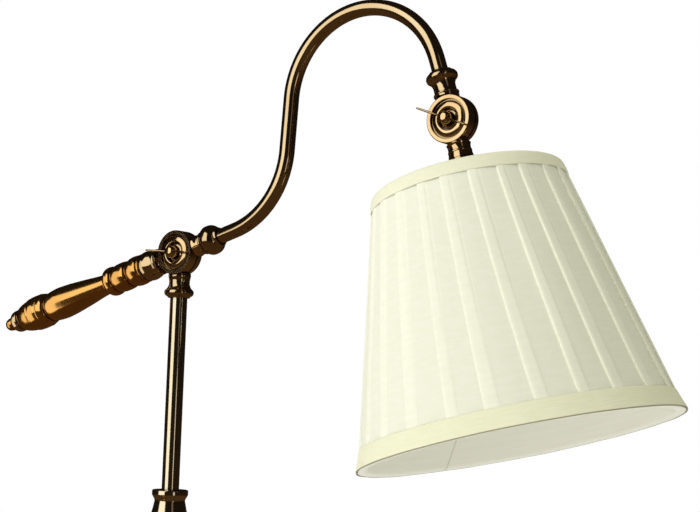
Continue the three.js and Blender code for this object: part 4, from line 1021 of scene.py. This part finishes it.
def pleatedCover():
    # Knife pleats: over one pleat the cloth starts at the folded edge, falls to a single layer, slides
    # under the next fold and climbs back to it, so each fold has a real undercut. Angle is the fold's
    # angle less its share of a pleat; radius is the cone's plus the height of the cloth there, which
    # the bands press flatter at both rims.
    count = shade["pleats"]
    section = np.array([
        [0.000, 0.60], [0.004, 0.78], [0.016, 0.92], [0.040, 1.01], [0.080, 1.06],
        [0.130, 1.03], [0.200, 0.97], [0.270, 0.91], [0.300, 0.84], [0.325, 0.70],
        [0.360, 0.60], [0.450, 0.50], [0.600, 0.38], [0.750, 0.26], [0.880, 0.16],
        [0.950, 0.08], [1.015, 0.04], [1.030, 0.12], [1.028, 0.30], [1.010, 0.48],
    ])
    rows = 112
    v = np.linspace(0, 1, rows)[:, None]
    d = holder["shadeTop"] + 1.5 + (holder["shadeBottom"] - holder["shadeTop"] - 3) * v
    pleat = np.repeat(np.arange(count), len(section))[None, :]
    share = np.tile(section[:, 0], count)[None, :]
    height = np.tile(section[:, 1], count)[None, :]
    pleatAt = pleat + share
    wander = np.sin(2.39 * pleat + 0.6) * (1 - v) + np.sin(1.71 * pleat + 2.2) * v
    wanderNext = np.sin(2.39 * (pleat + 1) + 0.6) * (1 - v) + np.sin(1.71 * (pleat + 1) + 2.2) * v
    wanderLast = np.sin(0.6) * (1 - v) + np.sin(2.2) * v
    wanderNext = np.where(pleat == count - 1, wanderLast, wanderNext)
    blend = np.clip(share, 0, 1)
    stray = shade["stray"] * (wander * (1 - blend) + wanderNext * blend)
    start = shade["foldTop"] * (1 - v) + shade["foldBottom"] * v
    angle = np.radians(start + stray - 360 / count * pleatAt)
    billow = 0.5 * np.sin(np.pi * v) * np.sin(np.pi * blend) * np.sin(3.1 * pleat + 1)
    slack = 0.25 * np.sin(2 * np.pi * v * 1.5 + pleat) * np.sin(np.pi * blend)
    press = 1 - 0.6 * np.exp(-((v / 0.07) ** 2)) - 0.6 * np.exp(-(((1 - v) / 0.07) ** 2))
    radius = shadeRadius(d) + press * (shade["foldHeight"] * height - shade["clothDepth"]) + billow + slack
    points = onShade(angle, radius, d + 0 * angle)
    shell = gridShell(points, pleatAt[0], v[:, 0])
    shell["tris"], shell["triUv"] = shell["tris"][:0], shell["triUv"][:0]
    shell["points"] = shell["points"][:-2]
    shell["open"] = True
    return shell


def tape(line, wave=0.0, steps=288):
    # A strip of cloth round the shade: a line of [radius less the cone's, distance] carried round,
    # whose last edge waves in and out by a few sines.
    line = fairLine(line, 0.8)
    angle = np.linspace(0, 2 * np.pi, steps, endpoint=False)[None, :]
    part = np.linspace(0, 1, len(line))[:, None]
    waves = 0.6 * np.sin(5 * angle + 0.4) + 0.5 * np.sin(11 * angle + 1.9) + 0.35 * np.sin(23 * angle)
    ripple = wave * waves
    d = line[:, 1][:, None] + 0.5 * ripple * part
    radius = shadeRadius(line[:, 1][:, None]) + line[:, 0][:, None] + ripple * np.sin(np.pi * part)
    points = onShade(angle + 0 * part, radius + 0 * angle, d + 0 * angle)
    shell = gridShell(points, angle[0] / (2 * np.pi), part[:, 0])
    shell["tris"], shell["triUv"] = shell["tris"][:0], shell["triUv"][:0]
    shell["points"] = shell["points"][:-2]
    shell["open"] = True
    return shell


def clothPiece(name, shell, material, node, slot, thickness):
    thing = piece(name, shell, material, "shade_holder", node, slot=slot)
    wall = thing.modifiers.new("cloth", "SOLIDIFY")
    wall.thickness, wall.offset, wall.use_even_offset = thickness * mm, -1, False
    thing.visible_glossy = False  # keeps the white shade out of the dark poles
    return thing


def outwards(shell):
    # open strips: turn the faces so that the first faces look away from the shade's axis
    p, q = shell["points"], shell["quads"]
    a, b, c = (p[q[:, k]] for k in range(3))
    normal = np.cross(b - a, c - a)
    middle = (a + c) / 2 - jointCentre
    radial = middle - (middle @ shadeAxis)[:, None] * shadeAxis
    if np.einsum("ij,ij->i", normal, radial)[: len(q) // 2].sum() < 0:
        shell["quads"], shell["quadUv"] = q[:, ::-1], shell["quadUv"][:, ::-1]
    return shell


top, bottom = holder["shadeTop"], holder["shadeBottom"]
pleatedPiece = clothPiece("pleatedCover", outwards(pleatedCover()), cloth["pleated"], "shade_cover",
                          "ivory_pleated_cloth", shade["thickness"])
topLine = [[0.1, top + shade["topBand"]], [0.45, top + 10], [0.6, top + 6], [0.3, top + 2.2],
           [-0.4, top + 0.6], [-1.8, top - 0.2], [-4, top - 0.1], [-6.6, top + 0.6], [-7.9, top + 2.6],
           [-8.3, top + 6]]
topPiece = clothPiece("topBand", outwards(tape(topLine, wave=0.12)), cloth["band"], "shade_top_band",
                      "band_cloth", shade["tapeThickness"])
bottomLine = [[0.1, bottom - shade["bottomBand"]], [0.5, bottom - 14.6], [0.9, bottom - 10.5],
              [1.4, bottom - 5.5], [2.0, bottom - 1], [1.9, bottom], [1.3, bottom + 0.3], [0.7, bottom],
              [0.3, bottom - 1.2], [-0.6, bottom - 6], [-1.1, bottom - 11]]
bottomPiece = clothPiece("bottomBand", outwards(tape(bottomLine, wave=0.45)), cloth["hem"],
                         "shade_bottom_band", "band_cloth", shade["tapeThickness"])
liningLine = [[-6.95, top + 5], [-7.2, top + 60], [-7.4, top + 120], [-7.2, top + 180], [-7.1, bottom - 9],
              [-7.0, bottom - 2.6], [-6.5, bottom - 0.9], [-5.1, bottom - 0.3], [-2.6, bottom - 0.2],
              [0.2, bottom - 0.3]]
liningPiece = clothPiece("shadeLining", outwards(tape(liningLine, wave=0.35)), cloth["lining"],
                         "shade_lining", "lining_cloth", shade["liningThickness"])


def hoop(radius, d, wire, steps=160):
    # ring of round wire about the shade's axis
    a = np.linspace(0, 2 * np.pi, 14, endpoint=False)
    section = np.stack([radius + wire * np.cos(a), d + wire * np.sin(a)], 1)
    return turned(section, jointCentre, shadeAxis, steps, loop=True, fair=False)


wireAt = {"depth": 5.1, "radius": 1.4, "ribRadius": 1.2, "ribs": 6, "arms": 3}
ringTop, ringBottom = top + 2.2, bottom - 2.2
innerTop = shadeRadius(ringTop) - wireAt["depth"]
innerBottom = shadeRadius(ringBottom) - wireAt["depth"]


def spot(angle, radius, d):
    return onShade(np.array(angle), np.array(radius), np.array(d))


ribs = [
    rodBetween(spot(radians(a), innerTop, ringTop), spot(radians(a), innerBottom, ringBottom),
               wireAt["ribRadius"])
    for a in np.arange(wireAt["ribs"]) * 60 + 120
]
hoops = [hoop(innerTop, ringTop, wireAt["radius"]), hoop(innerBottom, ringBottom, wireAt["radius"])]
piece("shadeFrame", [*hoops, *ribs], finish["wire"], "shade_holder", "shade_frame", slot="white_wire")
seat = top + 11
plateLine = [[19.75, seat - 1.4], [25.4, seat - 1.4], [26, seat - 0.8], [26, seat + 0.8],
             [25.4, seat + 1.4], [19.75, seat + 1.4]]
plate = hung(plateLine, 72, loop=True, fair=False)
arms = [
    rodBetween(spot(radians(a), 25, seat), spot(radians(a), innerTop - 2.2, ringTop), wireAt["radius"])
    for a in np.arange(wireAt["arms"]) * 120 + 90
]
piece("shadeSpider", [plate, *arms], finish["wire"], "shade_holder", "shade_spider", slot="white_wire")


def clothArea(thing):
    # area of one face of the cloth as it is modelled, before the solidify
    mesh = thing.data
    area = np.zeros(len(mesh.polygons))
    mesh.polygons.foreach_get("area", area)
    return float(area.sum())


# Each cloth is a part of a cone, so it is cut smaller than its width times its length. The loop
# below takes the smaller of the modelled cloth's own area and its width times length, which makes it
# no test of the cut, and keeps the result nowhere.
ringLength = 2 * np.pi * holder["bottomRadius"] * mm
for thing, width, length in (
    (pleatedPiece, 1.09 * ringLength, 0.224),
    (topPiece, 2 * np.pi * holder["topRadius"] * mm, 0.026),
    (bottomPiece, ringLength, 0.029),
    (liningPiece, ringLength, 0.226),
):
    min(clothArea(thing), width * length)
print("shade made")

# studio and camera

studio = {
    "azimuth": 34.65,  # degrees that the camera has turned left of looking along +Y
    "elevation": 5.4,
    "roll": 1.94,
    "position": (0.92433, -1.05909, 1.06934),
    "lens": 77.14,
    "fill": 0.54,
}
scene = bpy.context.scene


def fromCamera(offset, elevation):
    # unit vector towards the room: offset degrees to the left of the way back to the camera
    azimuth = radians(studio["azimuth"])
    back = np.array([np.sin(azimuth), -np.cos(azimuth), 0])
    left = -np.array([np.cos(azimuth), np.sin(azimuth), 0])
    level = back * np.cos(radians(offset)) + left * np.sin(radians(offset))
    return level * np.cos(radians(elevation)) + upward * np.sin(radians(elevation))


eye = bpy.data.objects.new("camera", bpy.data.cameras.new("camera"))
scene.collection.objects.link(eye)
eye.data.sensor_width, eye.data.lens = 36, studio["lens"]
eye.data.clip_start, eye.data.clip_end = 0.05, 60
azimuth, tilt, roll = (radians(studio[key]) for key in ("azimuth", "elevation", "roll"))
ahead = np.array([-np.sin(azimuth) * np.cos(tilt), np.cos(azimuth) * np.cos(tilt), np.sin(tilt)])
level = np.array([np.cos(azimuth), np.sin(azimuth), 0])
above = np.cross(level, ahead)
right = level * np.cos(roll) + above * np.sin(roll)
over = -level * np.sin(roll) + above * np.cos(roll)
turn = Matrix(np.stack([right, over, -ahead], 1).tolist()).to_4x4()
eye.matrix_world = Matrix.Translation(Vector(studio["position"])) @ turn
scene.camera = eye

aimPoint = np.array([0.12, 0, 1.2])


def softbox(name, offset, elevation, distance, width, height, radiance, tint, lights):
    # Rectangular light that faces the lamp; power = radiance * pi * area. It is either seen in the
    # shiny surfaces or lights the matte ones.
    lamp = bpy.data.lights.new(name, "AREA")
    lamp.shape, lamp.size, lamp.size_y = "RECTANGLE", width, height
    lamp.energy = radiance * np.pi * width * height
    lamp.color = linear(tint)[:3]
    thing = bpy.data.objects.new(name, lamp)
    scene.collection.objects.link(thing)
    way = fromCamera(offset, elevation)
    thing.location = aimPoint + way * distance
    thing.rotation_mode = "QUATERNION"
    thing.rotation_quaternion = Vector((-way).tolist()).to_track_quat("-Z", "Y")
    thing.visible_camera = False
    thing.visible_glossy = lights != "matte"
    thing.visible_diffuse = lights != "shiny"
    return thing


softbox("keyBox", 52, 19.5, 3.0, 2.5, 3.4, 1.5, "#FFFDF8", "shiny")
softbox("clothBox", 52, 24, 3.0, 2.3, 3.0, 2.5, "#FFFEFB", "matte")
# this box is for the handle alone: it lies along a light that the rest of the brass doesn't catch
handleBox = softbox("handleBox", 87, -12, 3.0, 1.4, 4.0, 1.3, "#FFFAF0", "shiny")
lit = bpy.data.collections.new("handleLit")
for name in [row[0] for row in handle["pieces"]] + ["handleFinial"]:
    lit.objects.link(bpy.data.objects[name])
handleBox.light_linking.receiver_collection = lit
softbox("rimBox", -30, -9, 3.0, 0.45, 0.8, 1.0, "#FFF6EC", "shiny")
softbox("faintBox", -26, 20, 3.0, 0.55, 2.2, 0.2, "#FFEBD6", "shiny")

world = bpy.data.worlds.new("room")
scene.world = world
world.use_nodes = True
room = world.node_tree
room.nodes.clear()
way = add(room, "TexCoord").outputs["Generated"]
upDown = add(room, "SeparateXYZ", {"Vector": way}).outputs["Z"]
dark = ramp(
    room,
    add(room, "MapRange", {"Value": upDown, "From Min": -1.0, "From Max": 1.0}).outputs[0],
    (0.25, linear("#503B25")),
    (0.45, linear("#2C1F14")),
    (0.53, linear("#1C1612")),
    (0.9, linear("#1C1612")),
)
light = add(room, "LightPath").outputs
glossy = add(room, "Background", {"Color": dark, "Strength": 1.0})
seen = add(room, "MapRange", {"Value": light["Is Camera Ray"], "To Min": studio["fill"], "To Max": 1.0})
hue = ramp(room, light["Is Camera Ray"], (0.0, linear("#FCFBE2")), (1.0, linear("#FFFFFF")))
pale = add(room, "Background", {"Color": hue, "Strength": seen.outputs[0]})
mixed = add(room, "MixShader", {"Fac": light["Is Glossy Ray"], 1: pale.outputs[0], 2: glossy.outputs[0]})
add(room, "OutputWorld", {"Surface": mixed.outputs[0]})

floorMesh = meshOf("floor", [turned(drum(9000, -4, -0.5), np.zeros(3), upward, 96)])
floor = bpy.data.objects.new("floor", floorMesh)
scene.collection.objects.link(floor)
floor.data.materials.append(
    solidFinish(
        "matteStudioFloor",
        {"colour": "#F1F0EC", "deep": "#ECEBE6", "roughness": (0.85, 0.95), "patch": 400, "grain": 3.0,
         "bump": 0.05, "lift": 0.1, "glow": 0.25},
    )
)
floor.visible_glossy = False
scene.view_settings.view_transform = "Standard"
scene.view_settings.look = "None"
print("studio made")
